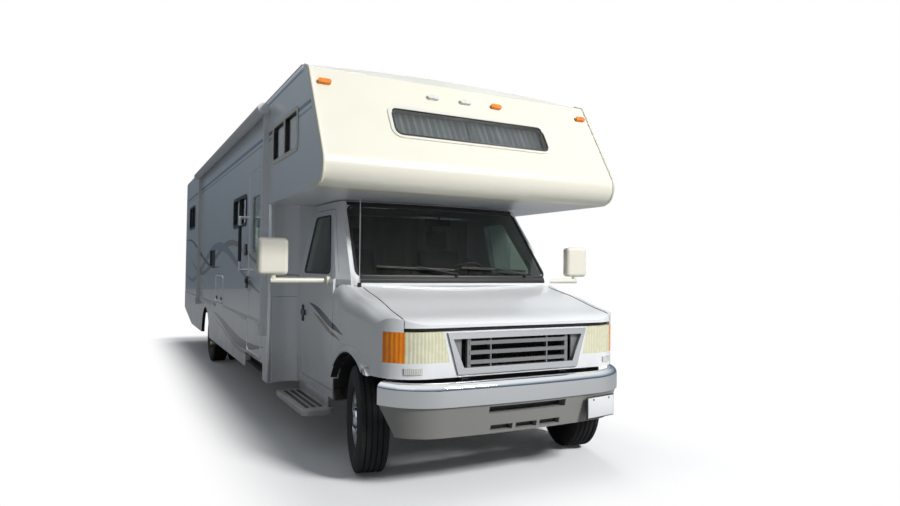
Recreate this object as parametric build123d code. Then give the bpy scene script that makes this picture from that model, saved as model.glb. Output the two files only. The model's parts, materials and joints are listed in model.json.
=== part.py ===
"""Cab-over motorhome: a van cutaway cab, a coach body behind it and a sleeping nose above it.

Frame: millimetres, +Z up, front towards -Y, kerb side towards -X, driver's side towards +X.
The origin is on the ground, midway along and across the vehicle.
"""
import math
import os

from build123d import *

# Overall sizes
OVERALL_LENGTH = 9750
FRONT_OVERHANG = 740
WHEELBASE = 5850
BODY_WIDTH = 2540
CAB_WIDTH = 2014
FRONT_AXLE_Y = FRONT_OVERHANG - OVERALL_LENGTH / 2
REAR_END = OVERALL_LENGTH - FRONT_OVERHANG

# Wheels, tyres and steering
TYRE_DIAMETER = 744
TYRE_WIDTH = 223
RIM_DIAMETER = 406
RIM_WIDTH = 165
HUB_DIAMETER = 150
FRONT_TRACK = 1750
REAR_WIDTH = 2390
DUAL_SPACING = 267
KINGPIN_OFFSET = 115
KINGPIN_DIAMETER = 44
SPINDLE_DIAMETER = 60
STEER_REST = -12
RUNNING_FIT = 0.05
HUB_HEIGHT = TYRE_DIAMETER / 2
KINGPIN_X = FRONT_TRACK / 2 - KINGPIN_OFFSET
REAR_WHEEL_X = REAR_WIDTH / 2 - TYRE_WIDTH / 2 - DUAL_SPACING / 2

# Chassis
RAIL_SPACING = 864
RAIL_HEIGHT = 180
RAIL_FLANGE = 64
RAIL_THICKNESS = 8
RAIL_TOP = 716
CROSS_TUBE_DIAMETER = 70
BEAM_HEIGHT = 90
BEAM_WIDTH = 70
AXLE_TUBE_DIAMETER = 110
DIFFERENTIAL_DIAMETER = 340
SPRING_TRACK = 560

# Cab
CAB_WALL = 60
CAB_ROOF = 1985
BELT_HEIGHT = 1345
CAB_FLOOR_TOP = 770
CAB_FLOOR_THICKNESS = 40
ROCKER_HEIGHT = 420
CAB_REAR = 1500
DOOR_FRONT = 455
DOOR_REAR = 1400
DOOR_BOTTOM = 490
DOOR_TOP = 1920
DOOR_GAP = 6
GLASS = 6
CLIP_WALL = 40
CLIP_BOTTOM = 600
ARCH_RADIUS = 465
ARCH_CENTRE = 40
ARCH_LIP = 45

# Coach
COACH_FRONT = 1500
BUMPER_REACH = 110
COACH_REAR = REAR_END - BUMPER_REACH
COACH_WALL = 45
WALL_TOP = 2920
ROOF_CROWN = 45
ROOF_EDGE = 40
SKIRT_BOTTOM = 400
SKIRT_REAR = 600
SKIRT_RISE = COACH_REAR - 1200
COACH_FLOOR_TOP = 860
COACH_FLOOR_THICKNESS = 70
REAR_ARCH_RADIUS = 430
BUNK_BOTTOM = 1992
BUNK_THICKNESS = 45
NOSE_TOP_FRONT = 310
NOSE_TOP = 2905
NOSE_BOTTOM_FRONT = -170
NOSE_RADIUS = 150
PANEL_GAP = 6


def at(distance):
    """Y of a station measured rearwards from the front axle."""
    return FRONT_AXLE_Y + distance


def block(x, y, z):
    """Box from (low, high) pairs; y counts from the front axle."""
    centre = Pos(sum(x) / 2, at(sum(y) / 2), sum(z) / 2)
    return centre * Box(x[1] - x[0], y[1] - y[0], z[1] - z[0])


def side_face(points):
    """Face in side view from (station, height) points."""
    corners = [(at(station), height) for station, height in points]
    return make_face(Polyline(*corners, close=True))


def across(face, x_low, x_high):
    """Extrude a side-view face from one X to another."""
    return Pos(x_low, 0, 0) * extrude(Plane.YZ * face, amount=x_high - x_low)


def side_panel(y, z, radius, x):
    """Rounded rectangle in side view, extruded across x."""
    face = Pos(at(sum(y) / 2), sum(z) / 2) * RectangleRounded(y[1] - y[0], z[1] - z[0], radius)
    return across(face, *x)


def lengthwise(face, y_low, y_high):
    """Extrude a front-view face (X, Z) from one station to another."""
    return Pos(0, at(y_high), 0) * extrude(Plane.XZ * face, amount=y_high - y_low)


def rod(start, end, diameter):
    """Round bar between two points (X, station, Z)."""
    a = Vector(start[0], at(start[1]), start[2])
    b = Vector(end[0], at(end[1]), end[2])
    axis = Plane(a, z_dir=b - a)
    return extrude(axis * Circle(diameter / 2), amount=(b - a).length)


def drum(x, station, height, diameter):
    """Cylinder along X from a (low, high) pair."""
    return rod((x[0], station, height), (x[1], station, height), diameter)


def turned(profile, x_centre, station, facing):
    """Revolve (X offset, radius) points about a wheel's axle; facing is +1 or -1."""
    points = [(x_centre + facing * offset, radius) for offset, radius in profile]
    face = make_face(Polyline(*points, close=True))
    solid = revolve(Plane.XZ * face, axis=Axis.X, revolution_arc=360)
    return Pos(0, at(station), HUB_HEIGHT) * solid


HINGE = {"radius": 6, "length": 45, "play": 0.3, "clearance": 1.2}


def barrel(centre, along, low, high, radius):
    """Part of a hinge barrel between two offsets from its centre."""
    start = [c + a * low for c, a in zip(centre, along)]
    end = [c + a * high for c, a in zip(centre, along)]
    return rod(start, end, 2 * radius)


def hang(carrier, leaf, centres, along):
    """Give a carrier and the leaf that turns on it facing hinge barrels on one axis."""
    radius, reach, play = HINGE["radius"], HINGE["length"], HINGE["play"]
    room = radius + HINGE["clearance"]
    for centre in centres:
        carrier -= barrel(centre, along, 0, reach + play, room)
        carrier += barrel(centre, along, -reach, -play / 2, radius)
        leaf -= barrel(centre, along, -reach - play, 0, room)
        leaf += barrel(centre, along, play / 2, reach, radius)
    return carrier, leaf


def both_sides(piece):
    """A piece on the driver's side and its mirror image on the kerb side."""
    return piece + mirror(piece, about=Plane.YZ)


def kerb_of(piece):
    return mirror(piece, about=Plane.YZ)


# Running gear
CROSS_TUBES = (-480, 1650, 2800, 4000, 5100, 6500, 7850, 8650)
RAIL_FRONT = -560
RAIL_REAR = COACH_REAR - 50
RAIL_X = RAIL_SPACING / 2
RAIL_BOTTOM = RAIL_TOP - RAIL_HEIGHT
CROSS_TUBE_Z = RAIL_TOP - RAIL_HEIGHT / 3


def chassis_frame():
    """Two channel rails, open towards each other, tied by round cross tubes."""
    web = block((RAIL_X - RAIL_THICKNESS, RAIL_X), (RAIL_FRONT, RAIL_REAR), (RAIL_BOTTOM, RAIL_TOP))
    rail = web
    for low in (RAIL_BOTTOM, RAIL_TOP - RAIL_THICKNESS):
        flange_z = (low, low + RAIL_THICKNESS)
        rail += block((RAIL_X - RAIL_FLANGE, RAIL_X), (RAIL_FRONT, RAIL_REAR), flange_z)
    tower = block((RAIL_X, COIL_X + COIL_DIAMETER / 2), (-COIL_DIAMETER / 2, COIL_DIAMETER / 2),
                  (RAIL_TOP - COIL_SEAT, RAIL_TOP))
    frame = both_sides(rail + tower)
    for station in CROSS_TUBES:
        frame += drum((RAIL_THICKNESS - RAIL_X, RAIL_X - RAIL_THICKNESS), station, CROSS_TUBE_Z,
                      CROSS_TUBE_DIAMETER)
    return frame + body_outriggers()


OUTRIGGERS = (1950, 3300, 4700, 7000, 8400)
OUTRIGGER_HEIGHT = 60


def body_outriggers():
    """Cross bearers that carry the coach floor on the rails."""
    floor_bottom = COACH_FLOOR_TOP - COACH_FLOOR_THICKNESS
    reach = BODY_WIDTH / 2 - COACH_WALL - PANEL_GAP
    bearers = Part()
    for station in OUTRIGGERS:
        bearers += block((-reach, reach), (station - OUTRIGGER_HEIGHT / 2, station + OUTRIGGER_HEIGHT / 2),
                         (RAIL_TOP, floor_bottom))
    return bearers


COIL_X = 560
COIL_DIAMETER = 120
COIL_SEAT = 12
COIL_TURNS = 7
BEAM_STATION = 60
EYE_DIAMETER = 80
EYE_HEIGHT = 84
BEAM_TOP = HUB_HEIGHT + BEAM_HEIGHT / 2
BEAM_BOTTOM = HUB_HEIGHT - BEAM_HEIGHT / 2
BEAM_WEB = 18


def axle_beam(station):
    """One forged I-beam: kingpin eye at the driver's end, frame pivot past the middle."""
    inner = -RAIL_X + RAIL_FLANGE
    span = (inner, KINGPIN_X - EYE_DIAMETER)
    half = BEAM_WIDTH / 2
    beam = block(span, (station - BEAM_WEB / 2, station + BEAM_WEB / 2), (BEAM_BOTTOM, BEAM_TOP))
    for low in (BEAM_BOTTOM, BEAM_TOP - BEAM_WEB):
        beam += block(span, (station - half, station + half), (low, low + BEAM_WEB))
    ends = (min(0, station) - half, max(0, station) + half)
    eye_z = (HUB_HEIGHT - EYE_HEIGHT / 2, HUB_HEIGHT + EYE_HEIGHT / 2)
    beam += block((span[1], KINGPIN_X - EYE_DIAMETER / 2 + BEAM_WEB), ends, eye_z)
    beam += rod((KINGPIN_X, 0, eye_z[0]), (KINGPIN_X, 0, eye_z[1]), EYE_DIAMETER)
    beam += block((inner, inner + BEAM_WIDTH), (station - half, station + half), (BEAM_TOP, RAIL_BOTTOM))
    bore = KINGPIN_DIAMETER + 2 * RUNNING_FIT
    return beam - rod((KINGPIN_X, 0, 0), (KINGPIN_X, 0, RAIL_TOP), bore)


def front_axle_beams():
    return axle_beam(-BEAM_STATION) + kerb_of(axle_beam(BEAM_STATION))


def coil_spring(station):
    """Bellows-like turned form that reads as a coil."""
    low = BEAM_TOP
    pitch = (RAIL_TOP - COIL_SEAT - low) / COIL_TURNS
    outer = COIL_DIAMETER / 2
    points = [(0, low)]
    for turn in range(COIL_TURNS):
        points += [(outer - pitch / 3, low + pitch * turn), (outer, low + pitch * (turn + 0.5))]
    points += [(outer - pitch / 3, RAIL_TOP - COIL_SEAT), (0, RAIL_TOP - COIL_SEAT)]
    coil = revolve(Plane.XZ * make_face(Polyline(*points, close=True)), axis=Axis.Z, revolution_arc=360)
    return Pos(COIL_X, at(station), 0) * coil


LEAF_LENGTH = 1400
LEAF_THICKNESS = 14
LEAF_WIDTH = 76
LEAF_COUNT = 5
LEAF_SEAT = HUB_HEIGHT + AXLE_TUBE_DIAMETER / 2
SHACKLE = 30


def leaf_pack():
    """Stepped leaf pack on the axle, hung from the rail by a hanger at each end."""
    x = (SPRING_TRACK - LEAF_WIDTH / 2, SPRING_TRACK + LEAF_WIDTH / 2)
    pack = Part()
    for leaf in range(LEAF_COUNT):
        half = LEAF_LENGTH / 2 * (leaf + 1) / LEAF_COUNT
        low = LEAF_SEAT + LEAF_THICKNESS * leaf
        pack += block(x, (WHEELBASE - half, WHEELBASE + half), (low, low + LEAF_THICKNESS))
    top = LEAF_SEAT + LEAF_THICKNESS * LEAF_COUNT
    for end in (-1, 1):
        centre = WHEELBASE + end * (LEAF_LENGTH - SHACKLE) / 2
        pack += block((RAIL_X, x[1]), (centre - SHACKLE, centre + SHACKLE), (top, RAIL_TOP - SHACKLE))
    return pack


def springs():
    return coil_spring(-BEAM_STATION) + kerb_of(coil_spring(BEAM_STATION)) + both_sides(leaf_pack())


YOKE_THICKNESS = 30
YOKE_GAP = 5
SPINDLE_END = 66
STEERING_ARM = 170


def steered(piece, side):
    """Turn a straight-ahead piece to the parked steering angle about its kingpin."""
    kingpin = Axis((side * KINGPIN_X, FRONT_AXLE_Y, 0), (0, 0, 1))
    return piece.rotate(kingpin, STEER_REST)


def knuckle(side):
    """Kingpin, yoke, steering arm and wheel spindle of one front wheel."""
    eye_top = HUB_HEIGHT + EYE_HEIGHT / 2 + YOKE_GAP
    eye_low = HUB_HEIGHT - EYE_HEIGHT / 2 - YOKE_GAP
    half = EYE_DIAMETER / 2
    web = (KINGPIN_X + half + YOKE_GAP, KINGPIN_X + half + YOKE_GAP + BEAM_WEB)
    piece = rod((KINGPIN_X, 0, eye_low - YOKE_THICKNESS), (KINGPIN_X, 0, eye_top + YOKE_THICKNESS),
                KINGPIN_DIAMETER)
    for low in (eye_low - YOKE_THICKNESS, eye_top):
        plate_z = (low, low + YOKE_THICKNESS)
        piece += rod((KINGPIN_X, 0, plate_z[0]), (KINGPIN_X, 0, plate_z[1]), EYE_DIAMETER)
        piece += block((KINGPIN_X, web[1]), (-half, half), plate_z)
    piece += block(web, (-half, half), (eye_low - YOKE_THICKNESS, eye_top + YOKE_THICKNESS))
    piece += drum((web[0], FRONT_TRACK / 2 + SPINDLE_END), 0, HUB_HEIGHT, SPINDLE_DIAMETER)
    arm_z = eye_low - YOKE_THICKNESS / 2
    piece += rod((KINGPIN_X, 0, arm_z), (KINGPIN_X - half, STEERING_ARM, arm_z), YOKE_THICKNESS)
    return steered(piece if side > 0 else kerb_of(piece), side)


BEAD_GAP = 0.3
BEAD_HALF = 76
SHOULDER = 22


def tyre(x_centre, station):
    """Tyre section: bead, bulging wall, rounded shoulder, flat tread."""
    half = TYRE_WIDTH / 2
    tread = TYRE_DIAMETER / 2
    bead = RIM_DIAMETER / 2 + BEAD_GAP
    wall = [(BEAD_HALF, bead), (half - 8, bead + 30), (half, bead + 62), (half - 4, tread - 50),
            (half - SHOULDER / 2, tread - SHOULDER), (half - 1.6 * SHOULDER, tread)]
    section = wall + [(-offset, radius) for offset, radius in reversed(wall)]
    return turned(section, x_centre, station, 1)


RIM_WALL = 11
HUB_WALL = 8
FRONT_HUB_END = 104
HAND_HOLES = 8
HAND_HOLE_DIAMETER = 42
HAND_HOLE_CIRCLE = 268


def pierced(rim, x_centre, station):
    """Cut the ring of hand holes through a wheel disc."""
    for index in range(HAND_HOLES):
        angle = math.tau * index / HAND_HOLES
        radius = HAND_HOLE_CIRCLE / 2
        rim -= drum((x_centre - RIM_WIDTH, x_centre + RIM_WIDTH), station + radius * math.cos(angle),
                    HUB_HEIGHT + radius * math.sin(angle), HAND_HOLE_DIAMETER)
    return rim


def front_rim(side):
    """Steel wheel with its disc near the outer face and a hub that stands proud."""
    outer = RIM_DIAMETER / 2
    inner = outer - RIM_WALL
    half = RIM_WIDTH / 2
    bore = SPINDLE_DIAMETER / 2 + RUNNING_FIT
    hub = HUB_DIAMETER / 2
    profile = [(-half, outer), (half, outer), (half, inner), (44, inner - 4), (34, 150), (52, 112),
               (58, hub + 4), (92, hub - 4), (FRONT_HUB_END, hub - 24), (FRONT_HUB_END, 0),
               (SPINDLE_END + YOKE_GAP, 0), (SPINDLE_END + YOKE_GAP, bore), (-half / 2, bore),
               (-half / 2, hub), (30, hub + 2), (34, 106), (14, 150), (22, inner - 2), (-half, inner)]
    rim = turned(profile, side * FRONT_TRACK / 2, 0, side)
    return steered(pierced(rim, side * FRONT_TRACK / 2, 0), side)


def front_tyre(side):
    return steered(tyre(side * FRONT_TRACK / 2, 0), side)


REAR_STUB_DIAMETER = 84
REAR_HUB_END = 150


def rear_rims(side):
    """Two dished rims back to back on one hub."""
    outer = RIM_DIAMETER / 2
    inner = outer - RIM_WALL
    far = DUAL_SPACING / 2 + RIM_WIDTH / 2
    near = DUAL_SPACING / 2 - RIM_WIDTH / 2
    bore = REAR_STUB_DIAMETER / 2 + RUNNING_FIT
    hub = HUB_DIAMETER / 2
    stub = REAR_HUB_END - 2 * SHOULDER
    profile = [(far, outer), (near, outer), (12, 128), (-12, 128), (-near, outer), (-far, outer),
               (-far, inner), (-near - HUB_WALL, inner), (-26, 120), (-26, hub), (-stub, hub), (-stub, bore),
               (stub, bore), (stub, 0), (REAR_HUB_END, 0), (REAR_HUB_END, hub - 24), (stub, hub),
               (26, hub + 4), (26, 120), (near + HUB_WALL, inner), (far, inner)]
    rims = turned(profile, side * REAR_WHEEL_X, WHEELBASE, side)
    return pierced(rims, side * REAR_WHEEL_X, WHEELBASE)


def rear_tyres(side):
    centre = side * REAR_WHEEL_X
    return tyre(centre - DUAL_SPACING / 2, WHEELBASE) + tyre(centre + DUAL_SPACING / 2, WHEELBASE)


SHAFT_DIAMETER = 90
GEARBOX_REAR = 1480
GEARBOX_Z = 560
DIFFERENTIAL_FRONT = 260


def rear_axle():
    """Axle tube with wheel stubs, round differential and its nose."""
    tube_end = REAR_WHEEL_X - DUAL_SPACING / 2 - TYRE_WIDTH / 2
    stub_end = REAR_WHEEL_X + REAR_HUB_END - 2 * SHOULDER - YOKE_GAP
    axle = drum((-tube_end, tube_end), WHEELBASE, HUB_HEIGHT, AXLE_TUBE_DIAMETER)
    axle += drum((-stub_end, stub_end), WHEELBASE, HUB_HEIGHT, REAR_STUB_DIAMETER)
    axle += Pos(0, at(WHEELBASE), HUB_HEIGHT) * Sphere(DIFFERENTIAL_DIAMETER / 2)
    nose = WHEELBASE - DIFFERENTIAL_FRONT
    axle += rod((0, nose, HUB_HEIGHT), (0, WHEELBASE, HUB_HEIGHT), 1.6 * SHAFT_DIAMETER)
    return axle


def drive_shaft():
    nose = WHEELBASE - DIFFERENTIAL_FRONT
    fall = (GEARBOX_Z - HUB_HEIGHT) * SHAFT_DIAMETER / (nose - GEARBOX_REAR)
    shaft = rod((0, GEARBOX_REAR - SHAFT_DIAMETER, GEARBOX_Z + fall),
                (0, nose + SHAFT_DIAMETER, HUB_HEIGHT - fall), SHAFT_DIAMETER)
    return shaft & block((-SHAFT_DIAMETER, SHAFT_DIAMETER), (GEARBOX_REAR, nose), (0, RAIL_TOP))


ENGINE = {"x": (-280, 280), "y": (-320, 425), "z": (480, 985)}
GEARBOX_WIDTH = 320
GEARBOX_HEIGHT = 250
ENGINE_MOUNT = {"y": (60, 160), "z": (590, 640)}


def engine_block():
    """Engine as one plain block, with the gearbox behind it and mounts to the rails."""
    engine = block(**ENGINE)
    engine += block((-GEARBOX_WIDTH / 2, GEARBOX_WIDTH / 2), (ENGINE["y"][1], GEARBOX_REAR),
                    (GEARBOX_Z - GEARBOX_HEIGHT / 2, GEARBOX_Z + GEARBOX_HEIGHT / 2))
    reach = RAIL_X - RAIL_THICKNESS
    return engine + block((-reach, reach), **ENGINE_MOUNT)


TANK_FRONT = WHEELBASE + 800
TANK_LENGTH = 1050
TANK_STRAPS = (TANK_FRONT + 250, TANK_FRONT + 800)
TANK = {"x": (-330, 330), "y": (TANK_FRONT, TANK_FRONT + TANK_LENGTH), "z": (370, 620)}
TANK_RADIUS = 60
TANK_FLANGE = 14


def fuel_tank():
    """Rounded tank between the rails, hung by two straps under the rail flanges."""
    tank = fillet(block(**TANK).edges().filter_by(Axis.Y), TANK_RADIUS)
    for station in TANK_STRAPS:
        tank += block((-RAIL_X, RAIL_X), (station, station + 2 * TANK_RADIUS),
                      (RAIL_BOTTOM - TANK_FLANGE, RAIL_BOTTOM))
    return tank


PIPE_DIAMETER = 76
ELBOW_DIAMETER = 90
PIPE_X = -665
PIPE_Z = 470
PIPE_FRONT = 480
PIPE_TURN = 5150
MUFFLER = {"y": (2700, 3500), "diameter": 230}
HANGERS = (1300, 2450, 4300)


def exhaust():
    """Pipe along the kerb side with a muffler and a tip that turns out before the rear wheel."""
    pipe = rod((PIPE_X, PIPE_FRONT, PIPE_Z), (PIPE_X, PIPE_TURN, PIPE_Z), PIPE_DIAMETER)
    pipe += Pos(PIPE_X, at(PIPE_TURN), PIPE_Z) * Sphere(ELBOW_DIAMETER / 2)
    pipe += rod((PIPE_X, PIPE_TURN, PIPE_Z), (-BODY_WIDTH / 2, PIPE_TURN + 60, SKIRT_BOTTOM - PIPE_DIAMETER),
                PIPE_DIAMETER)
    pipe += rod((PIPE_X, MUFFLER["y"][0], PIPE_Z), (PIPE_X, MUFFLER["y"][1], PIPE_Z), MUFFLER["diameter"])
    for station in HANGERS:
        pipe += rod((PIPE_X, station, PIPE_Z), (PIPE_X, station, RAIL_BOTTOM + SHACKLE), 12)
        pipe += block((PIPE_X - SHACKLE, -RAIL_X), (station - SHACKLE / 2, station + SHACKLE / 2),
                      (RAIL_BOTTOM + SHACKLE - 6, RAIL_BOTTOM + SHACKLE + 6))
    return pipe


# Front clip: station, half width, top height and shoulder radius of each section
CLIP_SECTIONS = (
    (-600, 955, 1074, 40),
    (-545, 960, 1104, 60),
    (-430, 972, 1134, 100),
    (-215, 986, 1188, 120),
    (0, 1000, 1240, 140),
    (262, 1003, 1300, 146),
    (DOOR_FRONT - DOOR_GAP, CAB_WIDTH / 2 - 2, 1342, 150),
)
CLIP_FRONT = CLIP_SECTIONS[0][0]
CLIP_REAR = CLIP_SECTIONS[-1][0]
CLIP_NOSE_HALF = 980
CLIP_NOSE_RADIUS = 310


def clip_section(half_width, top, bottom, shoulder):
    outline = make_face(Polyline((-half_width, bottom), (half_width, bottom), (half_width, top),
                                 (-half_width, top), close=True))
    return fillet(outline.vertices().sort_by(Axis.Y)[-2:], shoulder)


def clip_form(inset):
    """Body of the nose; inset shrinks it all round, and opens it below."""
    faces = []
    for station, half_width, top, shoulder in CLIP_SECTIONS:
        place = station + inset if station == CLIP_FRONT else station
        bottom = CLIP_BOTTOM - 2 * inset
        section = clip_section(half_width - inset, top - inset, bottom, max(shoulder - inset, 10))
        faces.append(Plane.XZ.offset(-at(place)) * section)
    return loft(faces) & nose_plan(inset)


def nose_plan(inset):
    """Upright prism that rounds the nose's front corners in plan."""
    wide = CLIP_NOSE_HALF - inset
    broad = CAB_WIDTH / 2 - inset
    front = at(CLIP_FRONT + inset)
    blend = at(CLIP_FRONT + CLIP_NOSE_RADIUS)
    corner = TangentArc((wide - CLIP_NOSE_RADIUS + inset, front), (wide, blend), tangent=(1, 0))
    outline = Line((0, front), corner @ 0) + corner
    outline += Polyline((wide, blend), (broad, at(0)), (broad, at(CLIP_REAR + CLIP_WALL)), (0, at(CLIP_REAR + CLIP_WALL)))
    return both_sides(extrude(make_face(outline + Line(outline @ 1, outline @ 0)), amount=2 * CAB_ROOF))


HOOD_FRONT = -590
HOOD_REAR = 225
HOOD_HALF_FRONT = 842
HOOD_HALF_REAR = 835
HOOD_LIP = 1054
LAMP_TOP = 1029
LAMP_BOTTOM = 831
LAMP_OUTER = 840
LAMP_INNER_TOP = 586
LAMP_INNER_BOTTOM = 545
LAMP_REAR = -430
LAMP_PANEL_BOTTOM = 730
GRILLE_TOP = 1022
GRILLE_BOTTOM = 748
GRILLE_HALF_TOP = 566
GRILLE_HALF_BOTTOM = 486


def hood_outline(gap):
    """Room of the hood: grown by a gap all round, it reaches down to the lamps."""
    points = [(-HOOD_HALF_FRONT - gap, at(HOOD_FRONT - CLIP_WALL)),
              (HOOD_HALF_FRONT + gap, at(HOOD_FRONT - CLIP_WALL)),
              (HOOD_HALF_REAR + gap, at(HOOD_REAR + gap)), (-HOOD_HALF_REAR - gap, at(HOOD_REAR + gap))]
    face = make_face(Polyline(*points, close=True))
    return Pos(0, 0, LAMP_TOP if gap else HOOD_LIP) * extrude(face, amount=CAB_ROOF)


def front_view(points, front, rear):
    """Prism along Y from (X, Z) points, both sides."""
    prism = lengthwise(make_face(Polyline(*points, close=True)), front, rear)
    return both_sides(prism)


def lamp_zone():
    return front_view([(LAMP_INNER_BOTTOM, LAMP_BOTTOM), (LAMP_OUTER, LAMP_BOTTOM), (LAMP_OUTER, LAMP_TOP),
                       (LAMP_INNER_TOP, LAMP_TOP)], CLIP_FRONT - CLIP_WALL, LAMP_REAR)


def turn_zone():
    return front_view([(LAMP_OUTER, LAMP_BOTTOM), (CAB_WIDTH / 2, LAMP_BOTTOM), (CAB_WIDTH / 2, LAMP_TOP),
                       (LAMP_OUTER, LAMP_TOP)], CLIP_FRONT - CLIP_WALL, LAMP_REAR)


def grille_zone(gap, front, rear):
    points = [(-GRILLE_HALF_BOTTOM - gap, GRILLE_BOTTOM - gap), (GRILLE_HALF_BOTTOM + gap, GRILLE_BOTTOM - gap),
              (GRILLE_HALF_TOP + gap, GRILLE_TOP + gap), (-GRILLE_HALF_TOP - gap, GRILLE_TOP + gap)]
    return lengthwise(make_face(Polyline(*points, close=True)), front, rear)


CLIP_OUTER = clip_form(0)
CLIP_SHELL = CLIP_OUTER - clip_form(CLIP_WALL)


def front_clip():
    """Both fenders with the lamp panel between them, arches open and lipped."""
    clip = CLIP_SHELL - hood_outline(PANEL_GAP) - lamp_zone() - turn_zone()
    clip -= grille_zone(0, CLIP_FRONT - CLIP_WALL, CLIP_FRONT + 3 * CLIP_WALL)
    clip -= block((-HOOD_HALF_REAR, HOOD_HALF_REAR), (CLIP_REAR - CLIP_WALL, CLIP_REAR + CLIP_WALL),
                  (0, CAB_ROOF))
    clip -= drum((-CAB_WIDTH, CAB_WIDTH), ARCH_CENTRE, HUB_HEIGHT, 2 * ARCH_RADIUS)
    side = CAB_WIDTH / 2
    lip = drum((side - CLIP_WALL, side + 8), ARCH_CENTRE, HUB_HEIGHT, 2 * (ARCH_RADIUS + ARCH_LIP))
    lip -= drum((0, CAB_WIDTH), ARCH_CENTRE, HUB_HEIGHT, 2 * ARCH_RADIUS)
    lip &= block((0, CAB_WIDTH), (LAMP_REAR, CLIP_REAR), (CLIP_BOTTOM, CAB_ROOF))
    bumper_room = block((-CAB_WIDTH, CAB_WIDTH), (CLIP_FRONT - CLIP_WALL, ARCH_CENTRE - ARCH_RADIUS / 3),
                        (0, LAMP_PANEL_BOTTOM))
    return clip + both_sides(lip) - bumper_room


HOOD_HINGE_X = 650
DOOR_HINGES = (800, 1130)
DOOR_HINGE_X = CAB_WIDTH / 2 - 2


def hung_front():
    """Front clip, and what turns on it: the hood, the driver's door and the kerb-side door."""
    lid = CLIP_SHELL & hood_outline(0)
    top = lid.bounding_box().max.Z
    rear = HOOD_REAR + PANEL_GAP / 2
    clip, lid = hang(front_clip(), lid, [(x, rear, top) for x in (-HOOD_HINGE_X, HOOD_HINGE_X)], (1, 0, 0))
    doors = []
    for side, door in ((1, cab_door()), (-1, kerb_of(cab_door()))):
        centres = [(side * DOOR_HINGE_X, DOOR_FRONT - DOOR_GAP / 2, height) for height in DOOR_HINGES]
        clip, door = hang(clip, door, centres, (0, 0, 1))
        doors.append(door)
    return clip, lid, *doors


def headlamps():
    return CLIP_SHELL & lamp_zone()


def turn_lamps():
    return CLIP_SHELL & turn_zone()


GRILLE_FRAME = 42
GRILLE_PROUD = 14
GRILLE_DEPTH = 45
GRILLE_BARS = 3
BAR_HEIGHT = 26
# Uprights: distance from the middle and width
UPRIGHTS = ((230, 10), (398, 26))
END_PANEL = 450


def grille():
    """Framed opening with level bars, thin uprights, and a panel in each end bay."""
    front = CLIP_FRONT - GRILLE_PROUD
    rear = front + GRILLE_DEPTH
    frame = grille_zone(0, front, rear)
    opening = grille_zone(-GRILLE_FRAME, front - CLIP_WALL, rear + CLIP_WALL)
    height = GRILLE_TOP - GRILLE_BOTTOM - 2 * GRILLE_FRAME
    inner = UPRIGHTS[-1][0]
    bars = Part()
    for index in range(GRILLE_BARS):
        middle = GRILLE_BOTTOM + GRILLE_FRAME + height * (index + 0.5) / GRILLE_BARS
        bars += block((-inner, inner), (front + GRILLE_PROUD, rear - GRILLE_PROUD / 2),
                      (middle - BAR_HEIGHT / 2, middle + BAR_HEIGHT / 2))
    for middle, width in UPRIGHTS:
        bars += both_sides(block((middle - width / 2, middle + width / 2), (front + GRILLE_PROUD + 4, rear),
                                 (GRILLE_BOTTOM, GRILLE_TOP)))
    bars += both_sides(block((END_PANEL, GRILLE_HALF_TOP), (rear - GRILLE_PROUD, rear), (GRILLE_BOTTOM, GRILLE_TOP)))
    return (frame - opening) + (bars & grille_zone(-GRILLE_FRAME / 2, front, rear))


BUMPER_HALF = 982
BUMPER_FRONT = -FRONT_OVERHANG
BUMPER_SWEEP = -712
BUMPER_END = -440
BUMPER_TOP = 714
BUMPER_LOW = 564
BUMPER_WALL = 60
BUMPER_FLAT = 620
BUMPER_ROUND = 46
VALANCE_BOTTOM = 358
VALANCE_INSET = 10
VALANCE_WALL = 35
VALANCE_TAPER = 15
SLOT = {"half": 308, "z": (498, 546)}
INTAKES = ((-280, -110), (-85, 85), (110, 280))
INTAKE_Z = (378, 416)
BRACKET = {"x": (RAIL_X - RAIL_FLANGE, RAIL_X), "z": (620, 700)}


def bumper_plan(inset):
    """Plan of the bumper: bowed front and corners that turn back along the fenders."""
    half = BUMPER_HALF - inset
    sweep = at(BUMPER_SWEEP + inset)
    bow = ThreePointArc((-BUMPER_FLAT, sweep), (0, at(BUMPER_FRONT + inset)), (BUMPER_FLAT, sweep))
    corner = TangentArc(bow @ 1, (half, at(BUMPER_END)), tangent=bow % 1)
    return make_face(bow + corner + mirror(corner, about=Plane.YZ) + Line(corner @ 1, (-half, at(BUMPER_END))))


def front_bumper():
    """Chromed band, rounded above and below, with brackets to the frame rails."""
    band = Pos(0, 0, BUMPER_LOW) * extrude(bumper_plan(0), amount=BUMPER_TOP - BUMPER_LOW)
    edges = band.edges().filter_by(GeomType.CIRCLE)
    band = fillet(edges.group_by(Axis.Z)[-1], BUMPER_ROUND)
    inner = extrude(bumper_plan(BUMPER_WALL), amount=2 * BUMPER_TOP)
    band -= Pos(0, 1, 0) * inner
    return band + both_sides(block(BRACKET["x"], (BUMPER_FRONT + BUMPER_WALL / 2, RAIL_FRONT), BRACKET["z"]))


def bumper_valance():
    """Moulded lower panel that tucks in below, with a long slot and three lower intakes."""
    height = BUMPER_LOW - VALANCE_BOTTOM
    top = Pos(0, 0, BUMPER_LOW)
    band = top * extrude(bumper_plan(VALANCE_INSET), amount=-height, taper=VALANCE_TAPER)
    band -= top * Pos(0, VALANCE_WALL, 0) * extrude(bumper_plan(VALANCE_INSET + VALANCE_WALL), amount=-height,
                                                    taper=VALANCE_TAPER)
    depth = (BUMPER_FRONT - CLIP_WALL, BUMPER_FRONT + 3 * BUMPER_WALL)
    band -= block((-SLOT["half"], SLOT["half"]), depth, SLOT["z"])
    for span in INTAKES:
        band -= block(span, depth, INTAKE_Z)
    return band


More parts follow.
